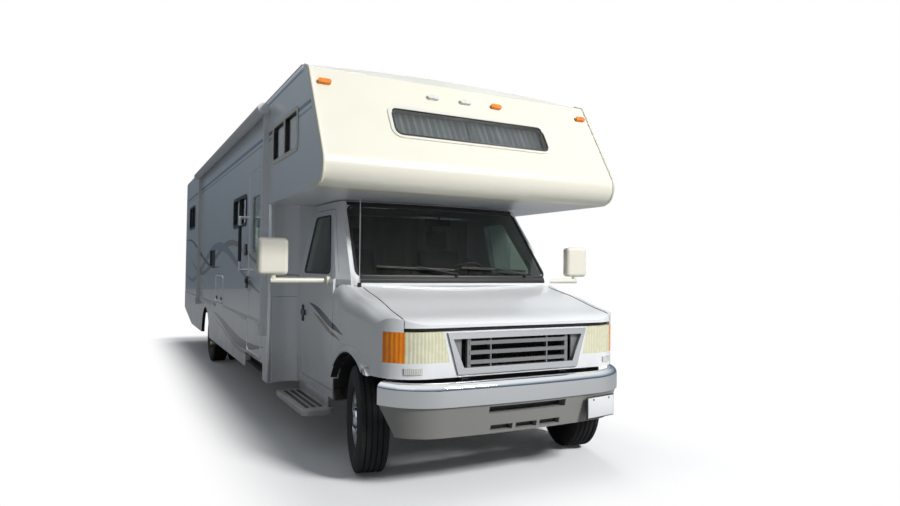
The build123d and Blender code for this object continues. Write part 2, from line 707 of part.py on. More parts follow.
# Cab greenhouse in plan at belt and roof:
# height, rear half width, middle station and half width, corner station and half width, centre station
GREENHOUSE = (
    (BELT_HEIGHT, 1000, 455, 985, 300, 915, 235),
    (CAB_ROOF, 862, 1000, 850, 800, 832, 715),
)
GREENHOUSE_WALL = 45
ROCKER_TUCK = 32
DOOR_INNER = CAB_WIDTH / 2 - CAB_WALL - ROCKER_TUCK - PANEL_GAP
COWL_DEPTH = 45
SILL_WIDTH = 50


def greenhouse_plan(row, inset, grow_rear=0):
    _, rear, mid_station, mid, corner_station, corner, centre = row
    half = [(rear - inset, at(CAB_REAR + grow_rear)), (mid - inset, at(mid_station)),
            (corner - inset, at(corner_station + inset))]
    sides = Polyline((-half[2][0], half[2][1]), (-half[1][0], half[1][1]), (-half[0][0], half[0][1]), *half)
    return make_face(sides + ThreePointArc(half[2], (0, at(centre + inset)), (-half[2][0], half[2][1])))


def greenhouse_form(inset):
    """Raked screen, leaning sides and roof; inset gives the inner form, open at the back."""
    faces = []
    for row in GREENHOUSE:
        height = min(row[0], CAB_ROOF - inset)
        faces.append(Pos(0, 0, height) * greenhouse_plan(row, inset, inset))
    return loft(faces, ruled=True)


def lower_form(inset, front, rear, low):
    """Barrel-sided body below the belt."""
    half = CAB_WIDTH / 2 - inset
    right = ThreePointArc((half - ROCKER_TUCK, low), (half, (low + BELT_HEIGHT) / 2), (half - 7, BELT_HEIGHT))
    left = ThreePointArc((7 - half, BELT_HEIGHT), (-half, (low + BELT_HEIGHT) / 2), (ROCKER_TUCK - half, low))
    caps = Line((half - 7, BELT_HEIGHT), (7 - half, BELT_HEIGHT)) + Line((ROCKER_TUCK - half, low),
                                                                        (half - ROCKER_TUCK, low))
    return lengthwise(make_face(right + left + caps), front, rear)


GREENHOUSE_OUTER = greenhouse_form(0)
CAB_WALLS = (lower_form(0, DOOR_FRONT, CAB_REAR, ROCKER_HEIGHT)
             - lower_form(CAB_WALL, DOOR_FRONT - CAB_WALL, CAB_REAR + CAB_WALL, ROCKER_HEIGHT)
             + (GREENHOUSE_OUTER - greenhouse_form(GREENHOUSE_WALL)))
DOOR_CORNERS = ((DOOR_FRONT, DOOR_BOTTOM), (DOOR_REAR, DOOR_BOTTOM), (DOOR_REAR, DOOR_TOP), (890, DOOR_TOP),
                (DOOR_FRONT, BELT_HEIGHT + 30))
DOOR_RADIUS = 40
DOOR_WINDOW = ((620, 1392), (1325, 1392), (1325, 1862), (962, 1862))
WINDOW_RADIUS = 30
SCREEN = ((-858, 1380), (858, 1380), (792, 1930), (-792, 1930))
SCREEN_RADIUS = 45


def door_face(gap):
    face = fillet(side_face(DOOR_CORNERS).vertices(), DOOR_RADIUS)
    return offset(face, gap) if gap else face


def door_cut():
    """Doorway through the driver's side of the shell."""
    low = across(door_face(DOOR_GAP), DOOR_INNER, CAB_WIDTH)
    high = across(door_face(DOOR_GAP), CAB_WIDTH / 3, CAB_WIDTH)
    return low + (high & block((0, CAB_WIDTH), (0, CAB_REAR), (BELT_HEIGHT, CAB_ROOF)))


def window_prism():
    return across(fillet(side_face(DOOR_WINDOW).vertices(), WINDOW_RADIUS), CAB_WIDTH / 3, CAB_WIDTH)


def screen_prism():
    face = fillet(make_face(Polyline(*SCREEN, close=True)).vertices(), SCREEN_RADIUS)
    return lengthwise(face, 0, 900)


def cab_shell():
    """Pillars, roof, cowl, firewall, floor and sills, with both doorways and the screen open."""
    shell = CAB_WALLS - screen_prism()
    inner = DOOR_INNER
    floor_z = (CAB_FLOOR_TOP - CAB_FLOOR_THICKNESS, CAB_FLOOR_TOP)
    shell += block((-inner, inner), (DOOR_FRONT, CAB_REAR), floor_z)
    shell += block((-CAB_WIDTH / 2 + CAB_WALL / 2, CAB_WIDTH / 2 - CAB_WALL / 2),
                   (DOOR_REAR + 2 * DOOR_GAP, CAB_REAR), floor_z)
    shell += block((-inner, inner), (DOOR_FRONT, DOOR_FRONT + CAB_FLOOR_THICKNESS), (floor_z[0], BELT_HEIGHT))
    sill = block((inner - SILL_WIDTH, inner), (DOOR_FRONT, CAB_REAR), (ROCKER_HEIGHT, CAB_FLOOR_TOP))
    sill += block((inner - SILL_WIDTH, CAB_WIDTH / 2 - 2 * ROCKER_TUCK), (DOOR_FRONT, CAB_REAR),
                  (ROCKER_HEIGHT, ROCKER_HEIGHT + CAB_FLOOR_THICKNESS))
    shell += both_sides(sill)
    cowl = Pos(0, 0, BELT_HEIGHT - COWL_DEPTH) * extrude(greenhouse_plan(GREENHOUSE[0], 0), amount=COWL_DEPTH)
    cowl &= block((-CAB_WIDTH, CAB_WIDTH), (0, DOOR_FRONT + CAB_FLOOR_THICKNESS), (0, CAB_ROOF))
    shell += cowl - CLIP_OUTER
    return shell - both_sides(door_cut())


def windscreen():
    """Bowed, raked glass flush with the cab's outer form."""
    return (GREENHOUSE_OUTER & screen_prism()) - Pos(0, GLASS + 2, 0) * GREENHOUSE_OUTER


DOOR_PANEL = (CAB_WALLS & across(door_face(0), CAB_WIDTH / 4, CAB_WIDTH)) - window_prism()
DOOR_GLASS = (GREENHOUSE_OUTER & window_prism()) - Pos(-GLASS, 0, 0) * GREENHOUSE_OUTER
MIRROR_HEAD = {"x": (1317, 1545), "y": (560, 655), "z": (1372, 1652)}
MIRROR_RADIUS = 32
MIRROR_ARM_DIAMETER = 42
MIRROR_ARM_Z = 1330
MIRROR_ARM_STATION = 606
MIRROR_POST_X = 1425
MIRROR_FOOT = {"x": (960, 1022), "y": (548, 672), "z": (1296, 1364)}
HANDLE = {"y": (1200, 1320), "z": (1015, 1062), "proud": 18}


def cab_door():
    """Door with its pull handle, as one panel the full depth of the wall."""
    side = CAB_WIDTH / 2
    grip = side_panel(HANDLE["y"], HANDLE["z"], 20, (side - CAB_WALL / 2, side + HANDLE["proud"]))
    return DOOR_PANEL + grip


def mirror_unit():
    """Boxy mirror head on a level arm from the door's front corner."""
    head = fillet(block(**MIRROR_HEAD).edges(), MIRROR_RADIUS)
    arm = rod((MIRROR_FOOT["x"][1], MIRROR_ARM_STATION, MIRROR_ARM_Z),
              (MIRROR_POST_X + MIRROR_ARM_DIAMETER / 2, MIRROR_ARM_STATION, MIRROR_ARM_Z), MIRROR_ARM_DIAMETER)
    post = rod((MIRROR_POST_X, MIRROR_ARM_STATION, MIRROR_ARM_Z),
               (MIRROR_POST_X, MIRROR_ARM_STATION, MIRROR_HEAD["z"][0] + MIRROR_RADIUS), MIRROR_ARM_DIAMETER)
    foot = fillet(block(**MIRROR_FOOT).edges().filter_by(Axis.X), 24)
    return (head + arm + post + foot) - CAB_WALLS - DOOR_GLASS


DASH_HALF = 870
DASH_PROFILE = ((DOOR_FRONT + CAB_FLOOR_THICKNESS, 1010), (DOOR_FRONT + CAB_FLOOR_THICKNESS, 1338), (640, 1335),
                (742, 1280), (765, 1160), (690, 1010))


def dashboard():
    dash = across(side_face(DASH_PROFILE), -DASH_HALF, DASH_HALF)
    return fillet(dash.edges().filter_by(Axis.X).group_by(Axis.Y)[-1], 25)


WHEEL_CENTRE = (400, 930, 1345)
WHEEL_DIAMETER = 400
WHEEL_RIM = 30
WHEEL_TILT = 42
COLUMN_LENGTH = 300


def steering_wheel():
    """Rim, three spokes and hub on a raked column that enters the dashboard."""
    rim = Torus(WHEEL_DIAMETER / 2 - WHEEL_RIM / 2, WHEEL_RIM / 2)
    hub = Pos(0, 0, -WHEEL_RIM) * Cylinder(65, 2 * WHEEL_RIM)
    spokes = Part()
    for angle in (0, 180, 270):
        reach = WHEEL_DIAMETER / 2 - WHEEL_RIM / 2
        spokes += Rot(0, 0, angle) * Pos(reach / 2, 0, -WHEEL_RIM / 4) * Box(reach, 38, WHEEL_RIM / 2)
    column = Pos(0, 0, -COLUMN_LENGTH / 2) * Cylinder(32, COLUMN_LENGTH)
    x, station, height = WHEEL_CENTRE
    wheel = Pos(x, at(station), height) * Rot(-90 + WHEEL_TILT, 0, 0) * (rim + hub + spokes + column)
    return wheel - dashboard()


SEAT_X = 470
SEAT_HALF = 255
SEAT_BASE = {"y": (1060, 1440), "z": (CAB_FLOOR_TOP, 960)}
SEAT_CUSHION = {"y": (1010, 1520), "z": (960, 1110)}
SEAT_BACK = ((1450, 1110), (1575, 1110), (1700, 1640), (1590, 1640))
HEADREST = ((1612, 1640), (1690, 1640), (1735, 1830), (1650, 1830))
HEADREST_HALF = 130


def cab_seats():
    """Two bucket seats: base, cushion, raked back and headrest."""
    x = (SEAT_X - SEAT_HALF, SEAT_X + SEAT_HALF)
    base = block((x[0] + 60, x[1] - 60), **SEAT_BASE)
    cushion = fillet(block(x, **SEAT_CUSHION).edges().filter_by(Axis.X), 50)
    back = across(side_face(SEAT_BACK), *x)
    rest = across(side_face(HEADREST), SEAT_X - HEADREST_HALF, SEAT_X + HEADREST_HALF)
    return both_sides(base + cushion + back + rest)


BOARD = {"x": (925, 1180), "y": (600, 1560), "z": (285, 330)}
BOARD_BRACKETS = (760, 1200, 1470)


def running_boards():
    """Moulded step below each cab door, hung from the sill by three brackets."""
    board = fillet(block(**BOARD).edges().filter_by(Axis.Z), 60)
    board = fillet(board.edges().group_by(Axis.Z)[-1], 12)
    for station in BOARD_BRACKETS:
        board += block((925, 960), (station - 25, station + 25), (BOARD["z"][1] - 5, ROCKER_HEIGHT))
    return both_sides(board)


# Coach body
WALL_OUTER = BODY_WIDTH / 2
WALL_INNER = WALL_OUTER - COACH_WALL
ROOF_BASE = WALL_TOP
CAP_TOP_REAR = 480
CAP_LOW_REAR = 200
CAP_TOP_RADIUS = 60
TRANSITION_REAR = COACH_FRONT + 60
NOSE_CORNER = NOSE_BOTTOM_FRONT - NOSE_RADIUS / 2.5
NOSE_LEAN = math.atan2(NOSE_TOP_FRONT - NOSE_CORNER, NOSE_TOP - BUNK_BOTTOM)


def nose_face():
    """Side view of the whole cab-over, corners rounded at the nose."""
    outline = side_face(((COACH_FRONT, BUNK_BOTTOM), (COACH_FRONT, ROOF_BASE + ROOF_EDGE),
                         (CAP_TOP_REAR, ROOF_BASE + ROOF_EDGE), (NOSE_TOP_FRONT, NOSE_TOP),
                         (NOSE_CORNER, BUNK_BOTTOM)))
    front = outline.vertices().sort_by(Axis.X)
    outline = fillet(front[0], NOSE_RADIUS)
    top = [v for v in outline.vertices() if abs(v.Y - NOSE_TOP) < 1]
    return fillet(top, CAP_TOP_RADIUS)


def view_rect(y, z):
    """Side-view rectangle from (low, high) pairs."""
    return Pos(at(sum(y) / 2), sum(z) / 2) * Rectangle(y[1] - y[0], z[1] - z[0])


def cap_face():
    """Side view of the moulded cap: a band round the nose."""
    face = nose_face()
    band = face - offset(face, -COACH_WALL)
    band -= view_rect((CAP_TOP_REAR, REAR_END), (0, 2 * ROOF_BASE))
    return band - view_rect((CAP_LOW_REAR, REAR_END), (0, BUNK_BOTTOM + 3 * COACH_WALL))


def wall_face():
    """Side view of a coach wall: cab-over side, main side and rising rear skirt."""
    main = side_face(((COACH_FRONT, SKIRT_BOTTOM), (SKIRT_RISE, SKIRT_BOTTOM), (COACH_REAR, SKIRT_REAR),
                      (COACH_REAR, ROOF_BASE), (COACH_FRONT, ROOF_BASE)))
    over = nose_face() - view_rect((NOSE_CORNER, COACH_FRONT), (ROOF_BASE, 2 * ROOF_BASE))
    return main + over - cap_face()


# Windows of each wall: stations, heights and whether a bar divides the panes
WINDOW_CORNER = 70
FRAME_WIDTH = 34
FRAME_PROUD = 8
PANE_DEPTH = 16
SHARED_WINDOWS = (((540, 1420), (2320, 2670), True),)
KERB_WINDOWS = SHARED_WINDOWS + (((2620, 3450), (1850, 2190), True), ((7500, 8350), (2050, 2460), True))
DRIVER_WINDOWS = SHARED_WINDOWS + (((2500, 3900), (1700, 2250), True), ((4700, 5400), (1850, 2190), True),
                                   ((7300, 8350), (1850, 2350), True))
REAR_WINDOW = {"half": 560, "z": (1750, 2230)}
CAP_WINDOW = {"half": 715, "height": 320, "z": 2525}
ENTRY = {"y": (1780, 2480), "z": (566, 2380), "radius": 60}
ENTRY_WINDOW = {"y": (1930, 2330), "z": (1560, 2120), "radius": 50}
STEP_WELL = {"y": (1690, 2550), "z": (SKIRT_BOTTOM, 548)}
BAGGAGE_KERB = {"y": (4170, 4820), "z": (950, 1320), "radius": 30}
BAGGAGE_DRIVER = {"y": (3000, 4200), "z": (470, 800), "radius": 30}
VENT = {"y": (4930, 5480), "z": (1400, 1640), "radius": 15}


def opening(spec, gap):
    """Prism through the driver's-side wall for a door or vent, grown by a gap."""
    y = (spec["y"][0] - gap, spec["y"][1] + gap)
    z = (spec["z"][0] - gap, spec["z"][1] + gap)
    return side_panel(y, z, spec["radius"] + gap, (WALL_INNER - COACH_WALL, WALL_OUTER + COACH_WALL))


def panel(spec):
    """Door leaf as thick as the wall."""
    return side_panel(spec["y"], spec["z"], spec["radius"], (WALL_INNER, WALL_OUTER))


def coach_wall(windows, doors):
    """Driver's-side wall with its windows, doorways and wheel arch open."""
    wall = across(wall_face(), WALL_INNER, WALL_OUTER)
    for y, z, _ in windows:
        wall -= opening({"y": y, "z": z, "radius": WINDOW_CORNER}, 0)
    for spec, gap in doors:
        wall -= opening(spec, gap)
    return wall - drum((WALL_INNER - COACH_WALL, BODY_WIDTH), WHEELBASE, HUB_HEIGHT, 2 * REAR_ARCH_RADIUS)


ENTRY_HINGES = (750, 1470, 2190)
LATCH = {"y": (2380, 2440), "z": (1180, 1300), "proud": 22}


def baggage_hinges(spec):
    """Hinge centres along a baggage door's top edge."""
    quarter = (spec["y"][1] - spec["y"][0]) / 4
    height = spec["z"][1] + PANEL_GAP / 2
    return [(WALL_OUTER, station, height) for station in (spec["y"][0] + quarter, spec["y"][1] - quarter)]


def hung_kerb_wall():
    """Kerb-side wall with its entry door and baggage door, all seen as on the driver's side."""
    wall = coach_wall(KERB_WINDOWS, ((ENTRY, PANEL_GAP), (BAGGAGE_KERB, PANEL_GAP), (VENT, 0)))
    wall -= block((WALL_INNER - 1, WALL_OUTER + 1), STEP_WELL["y"], STEP_WELL["z"])
    latch = side_panel(LATCH["y"], LATCH["z"], 12, (WALL_OUTER, WALL_OUTER + LATCH["proud"]))
    door = panel(ENTRY) - opening(ENTRY_WINDOW, 0) + latch
    front = ENTRY["y"][0] - PANEL_GAP / 2
    wall, door = hang(wall, door, [(WALL_OUTER, front, height) for height in ENTRY_HINGES], (0, 0, 1))
    wall, lid = hang(wall, panel(BAGGAGE_KERB), baggage_hinges(BAGGAGE_KERB), (0, 1, 0))
    return kerb_of(wall), kerb_of(door), kerb_of(lid)


def hung_driver_wall():
    """Driver's-side wall with its baggage door."""
    wall = coach_wall(DRIVER_WINDOWS, ((BAGGAGE_DRIVER, PANEL_GAP),))
    return hang(wall, panel(BAGGAGE_DRIVER), baggage_hinges(BAGGAGE_DRIVER), (0, 1, 0))


def coach_rear_wall():
    wall = block((-WALL_INNER, WALL_INNER), (COACH_REAR - COACH_WALL, COACH_REAR), (SKIRT_REAR, ROOF_BASE))
    return wall - rear_rect(0, COACH_WALL)


def rear_rect(inset, depth):
    """Rear window prism, shrunk by an inset, from the outer face forwards."""
    height = REAR_WINDOW["z"][1] - REAR_WINDOW["z"][0] - 2 * inset
    face = Pos(0, sum(REAR_WINDOW["z"]) / 2) * RectangleRounded(2 * (REAR_WINDOW["half"] - inset), height,
                                                               WINDOW_CORNER - inset)
    return lengthwise(face, COACH_REAR - depth, COACH_REAR + FRAME_PROUD)


def coach_roof():
    """Crowned roof panel with a low upright edge."""
    side = ROOF_BASE + ROOF_EDGE
    rim = Polyline((WALL_OUTER, side), (WALL_OUTER, ROOF_BASE), (-WALL_OUTER, ROOF_BASE), (-WALL_OUTER, side))
    face = make_face(rim + ThreePointArc((WALL_OUTER, side), (0, side + ROOF_CROWN), (-WALL_OUTER, side)))
    return lengthwise(face, CAP_TOP_REAR, COACH_REAR)


def coach_floor():
    z = (COACH_FLOOR_TOP - COACH_FLOOR_THICKNESS, COACH_FLOOR_TOP)
    floor = block((-WALL_INNER, WALL_INNER), (TRANSITION_REAR, COACH_REAR - COACH_WALL), z)
    for spec, side in ((ENTRY, -1), (BAGGAGE_DRIVER, 1)):
        span = (spec["y"][0] - PANEL_GAP, spec["y"][1] + PANEL_GAP)
        edge = sorted((side * WALL_INNER, side * (WALL_INNER - PANEL_GAP)))
        floor -= block(edge, span, z)
    return floor


def nose_plane(height):
    """Plane on the leaning nose at a height, its Y up the slope and its Z outwards."""
    station = NOSE_CORNER + (height - BUNK_BOTTOM) * math.tan(NOSE_LEAN)
    outwards = (0, -math.cos(NOSE_LEAN), math.sin(NOSE_LEAN))
    return Plane((0, at(station), height), x_dir=(1, 0, 0), z_dir=outwards)


def cap_rect(inset, low, high):
    """Cap window prism, shrunk by an inset, between two depths from the face."""
    face = RectangleRounded(2 * (CAP_WINDOW["half"] - inset), CAP_WINDOW["height"] - 2 * inset,
                            WINDOW_CORNER + 20 - inset)
    return extrude(nose_plane(CAP_WINDOW["z"]).offset(low) * face, amount=high - low)


def cab_over_cap():
    """Moulded nose: leaning face, rounded lower edge and a return under the bunk."""
    return across(cap_face(), -WALL_OUTER, WALL_OUTER) - cap_rect(0, -2 * COACH_WALL, COACH_WALL)


def bunk_floor():
    return block((-WALL_INNER, WALL_INNER), (CAP_LOW_REAR, TRANSITION_REAR),
                 (BUNK_BOTTOM, BUNK_BOTTOM + BUNK_THICKNESS))


TRANSITION_INNER = 950
TRANSITION_SCOOP = 38


def transition_panels():
    """Scooped panels that close the coach's front corners beside the cab."""
    side = CAB_WIDTH / 2 - 5
    scoop = ThreePointArc((WALL_INNER, at(COACH_FRONT)), ((WALL_INNER + side) / 2, at(COACH_FRONT + TRANSITION_SCOOP)),
                          (side, at(COACH_FRONT)))
    back = Polyline((side, at(COACH_FRONT)), (TRANSITION_INNER, at(COACH_FRONT)),
                    (TRANSITION_INNER, at(TRANSITION_REAR)), (WALL_INNER, at(TRANSITION_REAR)),
                    (WALL_INNER, at(COACH_FRONT)))
    corner = Pos(0, 0, SKIRT_BOTTOM) * extrude(make_face(scoop + back), amount=BUNK_BOTTOM - SKIRT_BOTTOM)
    return both_sides(corner)


def wall_window(y, z, divided):
    """Frame and panes of one driver's-side window."""
    x = (WALL_OUTER - COACH_WALL, WALL_OUTER + FRAME_PROUD)
    clear_y = (y[0] + FRAME_WIDTH, y[1] - FRAME_WIDTH)
    clear_z = (z[0] + FRAME_WIDTH, z[1] - FRAME_WIDTH)
    hole = side_panel(clear_y, clear_z, WINDOW_CORNER - FRAME_WIDTH, (x[0] - 1, x[1] + 1))
    pane_x = (WALL_OUTER - PANE_DEPTH - GLASS, WALL_OUTER - PANE_DEPTH)
    pane = side_panel(clear_y, clear_z, WINDOW_CORNER - FRAME_WIDTH, pane_x)
    frame = side_panel(y, z, WINDOW_CORNER, x) - hole
    if divided:
        middle = sum(y) / 2
        bar = block(x, (middle - FRAME_WIDTH / 2, middle + FRAME_WIDTH / 2), clear_z)
        frame += bar
        pane -= bar
    return frame, pane


def window_sets():
    """All coach window frames and all their panes."""
    frames, panes = Part(), Part()
    for windows, place in ((KERB_WINDOWS, kerb_of), (DRIVER_WINDOWS, lambda piece: piece)):
        for y, z, divided in windows:
            frame, pane = wall_window(y, z, divided)
            frames += place(frame)
            panes += place(pane)
    frames += rear_rect(0, COACH_WALL) - rear_rect(FRAME_WIDTH, 2 * COACH_WALL)
    frames += cap_rect(0, -COACH_WALL, FRAME_PROUD) - cap_rect(FRAME_WIDTH, -2 * COACH_WALL, COACH_WALL)
    slab = block((-WALL_OUTER, WALL_OUTER), (COACH_REAR - PANE_DEPTH - GLASS, COACH_REAR - PANE_DEPTH), (0, ROOF_BASE))
    panes += rear_rect(FRAME_WIDTH, COACH_WALL) & slab
    return frames, panes + cap_rect(FRAME_WIDTH, -PANE_DEPTH - GLASS, -PANE_DEPTH)


WINDOW_FRAMES, WINDOW_PANES = window_sets()


def entry_door_glass():
    """Framed pane in the entry door."""
    pane = side_panel(ENTRY_WINDOW["y"], ENTRY_WINDOW["z"], ENTRY_WINDOW["radius"],
                      (WALL_OUTER - PANE_DEPTH - GLASS, WALL_OUTER - PANE_DEPTH))
    return kerb_of(pane)


STEP_INNER = 880
STEP_PLATE = 25


def entry_step():
    """Folded step under the door, hung from the floor by two side plates."""
    y = (STEP_WELL["y"][0] + PANEL_GAP, STEP_WELL["y"][1] - PANEL_GAP)
    tread = block((STEP_INNER, WALL_OUTER - 4), y, (SKIRT_BOTTOM + 6, SKIRT_BOTTOM + 56))
    upper = block((STEP_INNER, WALL_OUTER - 50), y, (SKIRT_BOTTOM + 96, STEP_WELL["z"][1] - 6))
    step = tread + upper
    for low in (y[0], y[1] - STEP_PLATE):
        step += block((STEP_INNER, WALL_INNER - 8), (low, low + STEP_PLATE),
                      (SKIRT_BOTTOM + 6, COACH_FLOOR_TOP - COACH_FLOOR_THICKNESS))
    return kerb_of(step)


ASSIST = {"station": ENTRY["y"][1] + 55, "z": (1390, 1930), "reach": 80, "diameter": 28}


def assist_handle():
    """Grab bar beside the entry door."""
    x = WALL_OUTER + ASSIST["reach"]
    low, high = ASSIST["z"]
    bar = rod((x, ASSIST["station"], low), (x, ASSIST["station"], high), ASSIST["diameter"])
    for height in (low, high):
        bar += rod((WALL_OUTER, ASSIST["station"], height), (x, ASSIST["station"], height), ASSIST["diameter"])
        bar += Pos(x, at(ASSIST["station"]), height) * Sphere(ASSIST["diameter"] / 2)
    return kerb_of(bar)


VENT_SLATS = 6


def appliance_vent():
    """Louvred outside vent of the refrigerator."""
    frame = panel(VENT)
    pitch = (VENT["z"][1] - VENT["z"][0] - FRAME_WIDTH) / VENT_SLATS
    for index in range(VENT_SLATS):
        low = VENT["z"][0] + FRAME_WIDTH / 2 + pitch * index
        frame -= block((WALL_OUTER - COACH_WALL / 2, WALL_OUTER + 1),
                       (VENT["y"][0] + FRAME_WIDTH, VENT["y"][1] - FRAME_WIDTH), (low + pitch * 0.35, low + pitch))
    return kerb_of(frame)


AWNING = {"stations": (1560, 6720), "z": 2850, "diameter": 100, "x": WALL_OUTER + 60}
AWNING_ARMS = (1620, 6650)
ARM_WIDTH = 52
ARM_DEPTH = 46
ARM_BOTTOM = 870


def awning():
    """Rolled awning under the roof edge on two folded arms."""
    x = AWNING["x"]
    low, high = AWNING["stations"]
    roll = rod((x, low, AWNING["z"]), (x, high, AWNING["z"]), AWNING["diameter"])
    for station in AWNING_ARMS:
        y = (station - ARM_WIDTH / 2, station + ARM_WIDTH / 2)
        roll += block((WALL_OUTER, WALL_OUTER + ARM_DEPTH), y, (ARM_BOTTOM, AWNING["z"]))
        roll += block((WALL_OUTER, WALL_OUTER + ARM_DEPTH + 12), (y[0] - 8, y[1] + 8), (ARM_BOTTOM - 60, ARM_BOTTOM + 40))
    return kerb_of(roll)


# Roof fittings: half width, stations, height above the roof's middle and corner radius
ROOF_FITTINGS = ((345, (4500, 5480), 260, 90), (190, (2500, 2880), 75, 25), (190, (7200, 7580), 75, 25))


def roof_fittings():
    """Air conditioner and two vent lids."""
    roof = coach_roof()
    pieces = Part()
    for half, y, height, radius in ROOF_FITTINGS:
        top = ROOF_BASE + ROOF_EDGE + ROOF_CROWN + height
        piece = block((-half, half), y, (ROOF_BASE + ROOF_EDGE, top))
        piece = fillet(piece.edges().filter_by(Axis.Z), radius)
        pieces += fillet(piece.edges().group_by(Axis.Z)[-1], radius / 2)
    return pieces - roof


LADDER = {"x": WALL_OUTER - 420, "half": 190, "z": (900, 2700), "reach": 90, "diameter": 28, "rung": 24, "rungs": 7}


def rear_ladder():
    """Tube ladder on the rear wall with standoffs at its ends and middle."""
    station = COACH_REAR + LADDER["reach"]
    low, high = LADDER["z"]
    size = LADDER["diameter"]
    left, right = LADDER["x"] - LADDER["half"], LADDER["x"] + LADDER["half"]
    ladder = Part()
    for x in (left, right):
        ladder += rod((x, station, low), (x, station, high), size)
        for height in (low + size, (low + high) / 2, high - size):
            ladder += rod((x, COACH_REAR, height), (x, station, height), LADDER["rung"])
    for index in range(LADDER["rungs"]):
        height = low + 2 * size + (high - low - 4 * size) * index / (LADDER["rungs"] - 1)
        ladder += drum((left, right), station, height, LADDER["rung"])
    return ladder


REAR_BUMPER = {"x": (120 - WALL_OUTER, WALL_OUTER - 120), "y": (COACH_REAR + 20, REAR_END), "z": (500, 610)}
RECEIVER_OUTER = 64
RECEIVER_BORE = 51
RECEIVER_Z = 468
RECEIVER_FRONT = REAR_END - 510
HITCH_PIN = 16
HITCH_PIN_STATION = REAR_END - 45


def rear_bumper():
    """Steel bumper on the rails, with a square hitch receiver below it."""
    bumper = fillet(block(**REAR_BUMPER).edges().filter_by(Axis.X), 20)
    reach = (RAIL_REAR - 2 * CROSS_TUBE_DIAMETER, REAR_BUMPER["y"][0] + 10)
    bumper += both_sides(block((RAIL_X - RAIL_FLANGE, RAIL_X), reach, (REAR_BUMPER["z"][0] + 20, RAIL_BOTTOM)))
    half = RECEIVER_OUTER / 2
    tube = block((-half, half), (RECEIVER_FRONT, REAR_END), (RECEIVER_Z - half, RECEIVER_Z + half))
    bumper += tube
    bore = RECEIVER_BORE / 2
    bumper -= block((-bore, bore), (RECEIVER_FRONT - 1, REAR_END + 1), (RECEIVER_Z - bore, RECEIVER_Z + bore))
    return bumper - drum((-RECEIVER_OUTER, RECEIVER_OUTER), HITCH_PIN_STATION, RECEIVER_Z, HITCH_PIN)


TAIL_LAMP = {"x": (WALL_OUTER - 190, WALL_OUTER - 80), "y": (COACH_REAR, COACH_REAR + 32), "z": (880, 1080)}
CLEARANCE_X = (103 - WALL_OUTER, -290, 0, 290, WALL_OUTER - 103)
CLEARANCE_Z = 2775
CLEARANCE_SIZE = (100, 42, 24)


def marker_lamps():
    """Tail lamps at the back and five clearance lamps on the nose and the rear."""
    lamps = both_sides(fillet(block(**TAIL_LAMP).edges().filter_by(Axis.Y), 20))
    width, height, depth = CLEARANCE_SIZE
    for x in CLEARANCE_X:
        face = Pos(x, 0) * RectangleRounded(width, height, height / 2.2)
        lamps += extrude(nose_plane(CLEARANCE_Z) * face, amount=depth)
        rear = Pos(x, CLEARANCE_Z) * RectangleRounded(width, height, height / 2.2)
        lamps += lengthwise(rear, COACH_REAR, COACH_REAR + depth)
    return lamps


DRIVER, KERB = 1, -1
NODES = {
    "chassis_frame": chassis_frame, "front_axle_beams": front_axle_beams, "springs": springs,
    "rear_axle": rear_axle, "drive_shaft": drive_shaft, "engine_block": engine_block,
    "fuel_tank": fuel_tank, "exhaust": exhaust, "grille": grille, "headlamps": headlamps, "turn_lamps": turn_lamps,
    "front_bumper": front_bumper, "bumper_valance": bumper_valance, "cab_shell": cab_shell,
    "windscreen": windscreen, "dashboard": dashboard,
    "steering_wheel": steering_wheel, "cab_seats": cab_seats, "running_boards": running_boards,
    "mirror_driver": mirror_unit, "coach_floor": coach_floor, "coach_rear_wall": coach_rear_wall,
    "coach_roof": coach_roof, "cab_over_cap": cab_over_cap, "bunk_floor": bunk_floor,
    "transition_panels": transition_panels,
    "entry_door_glass": entry_door_glass, "entry_step": entry_step,
    "assist_handle": assist_handle, "appliance_vent": appliance_vent, "awning": awning,
    "roof_fittings": roof_fittings, "rear_ladder": rear_ladder, "rear_bumper": rear_bumper,
    "marker_lamps": marker_lamps,
}


def build_nodes():
    """Every named piece, in place."""
    pieces = {name: make() for name, make in NODES.items()}
    pieces["mirror_kerb"] = kerb_of(pieces["mirror_driver"])
    pieces["cab_door_glass_driver"] = DOOR_GLASS
    pieces["cab_door_glass_kerb"] = kerb_of(DOOR_GLASS)
    pieces["coach_window_frames"] = WINDOW_FRAMES
    pieces["coach_glass"] = WINDOW_PANES
    front = ("front_clip", "hood", "cab_door_driver", "cab_door_kerb")
    pieces.update(zip(front, hung_front()))
    pieces["coach_wall_kerb"], pieces["entry_door"], pieces["baggage_door_kerb"] = hung_kerb_wall()
    pieces["coach_wall_driver"], pieces["baggage_door_driver"] = hung_driver_wall()
    for name, side in (("driver", DRIVER), ("kerb", KERB)):
        pieces[f"knuckle_{name}"] = knuckle(side)
        pieces[f"wheel_front_{name}"] = front_rim(side)
        pieces[f"tyre_front_{name}"] = front_tyre(side)
        pieces[f"wheels_rear_{name}"] = rear_rims(side)
        pieces[f"tyres_rear_{name}"] = rear_tyres(side)
    return pieces


os.makedirs("parts", exist_ok=True)
for node, piece in build_nodes().items():
    export_step(piece, f"parts/{node}.step")
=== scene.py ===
# %% [markdown]
# # Dressing a motorhome
# The frame brings the vehicle's solid pieces at their real size. This lesson gives every surface its
# finish and adds what is too fine for the solids: tread, nuts, trim, wipers, curtains and padded seats.
# %% Load the frame
import json
import math

import bmesh
import bpy
from mathutils import Matrix, Vector
from mathutils.bvhtree import BVHTree


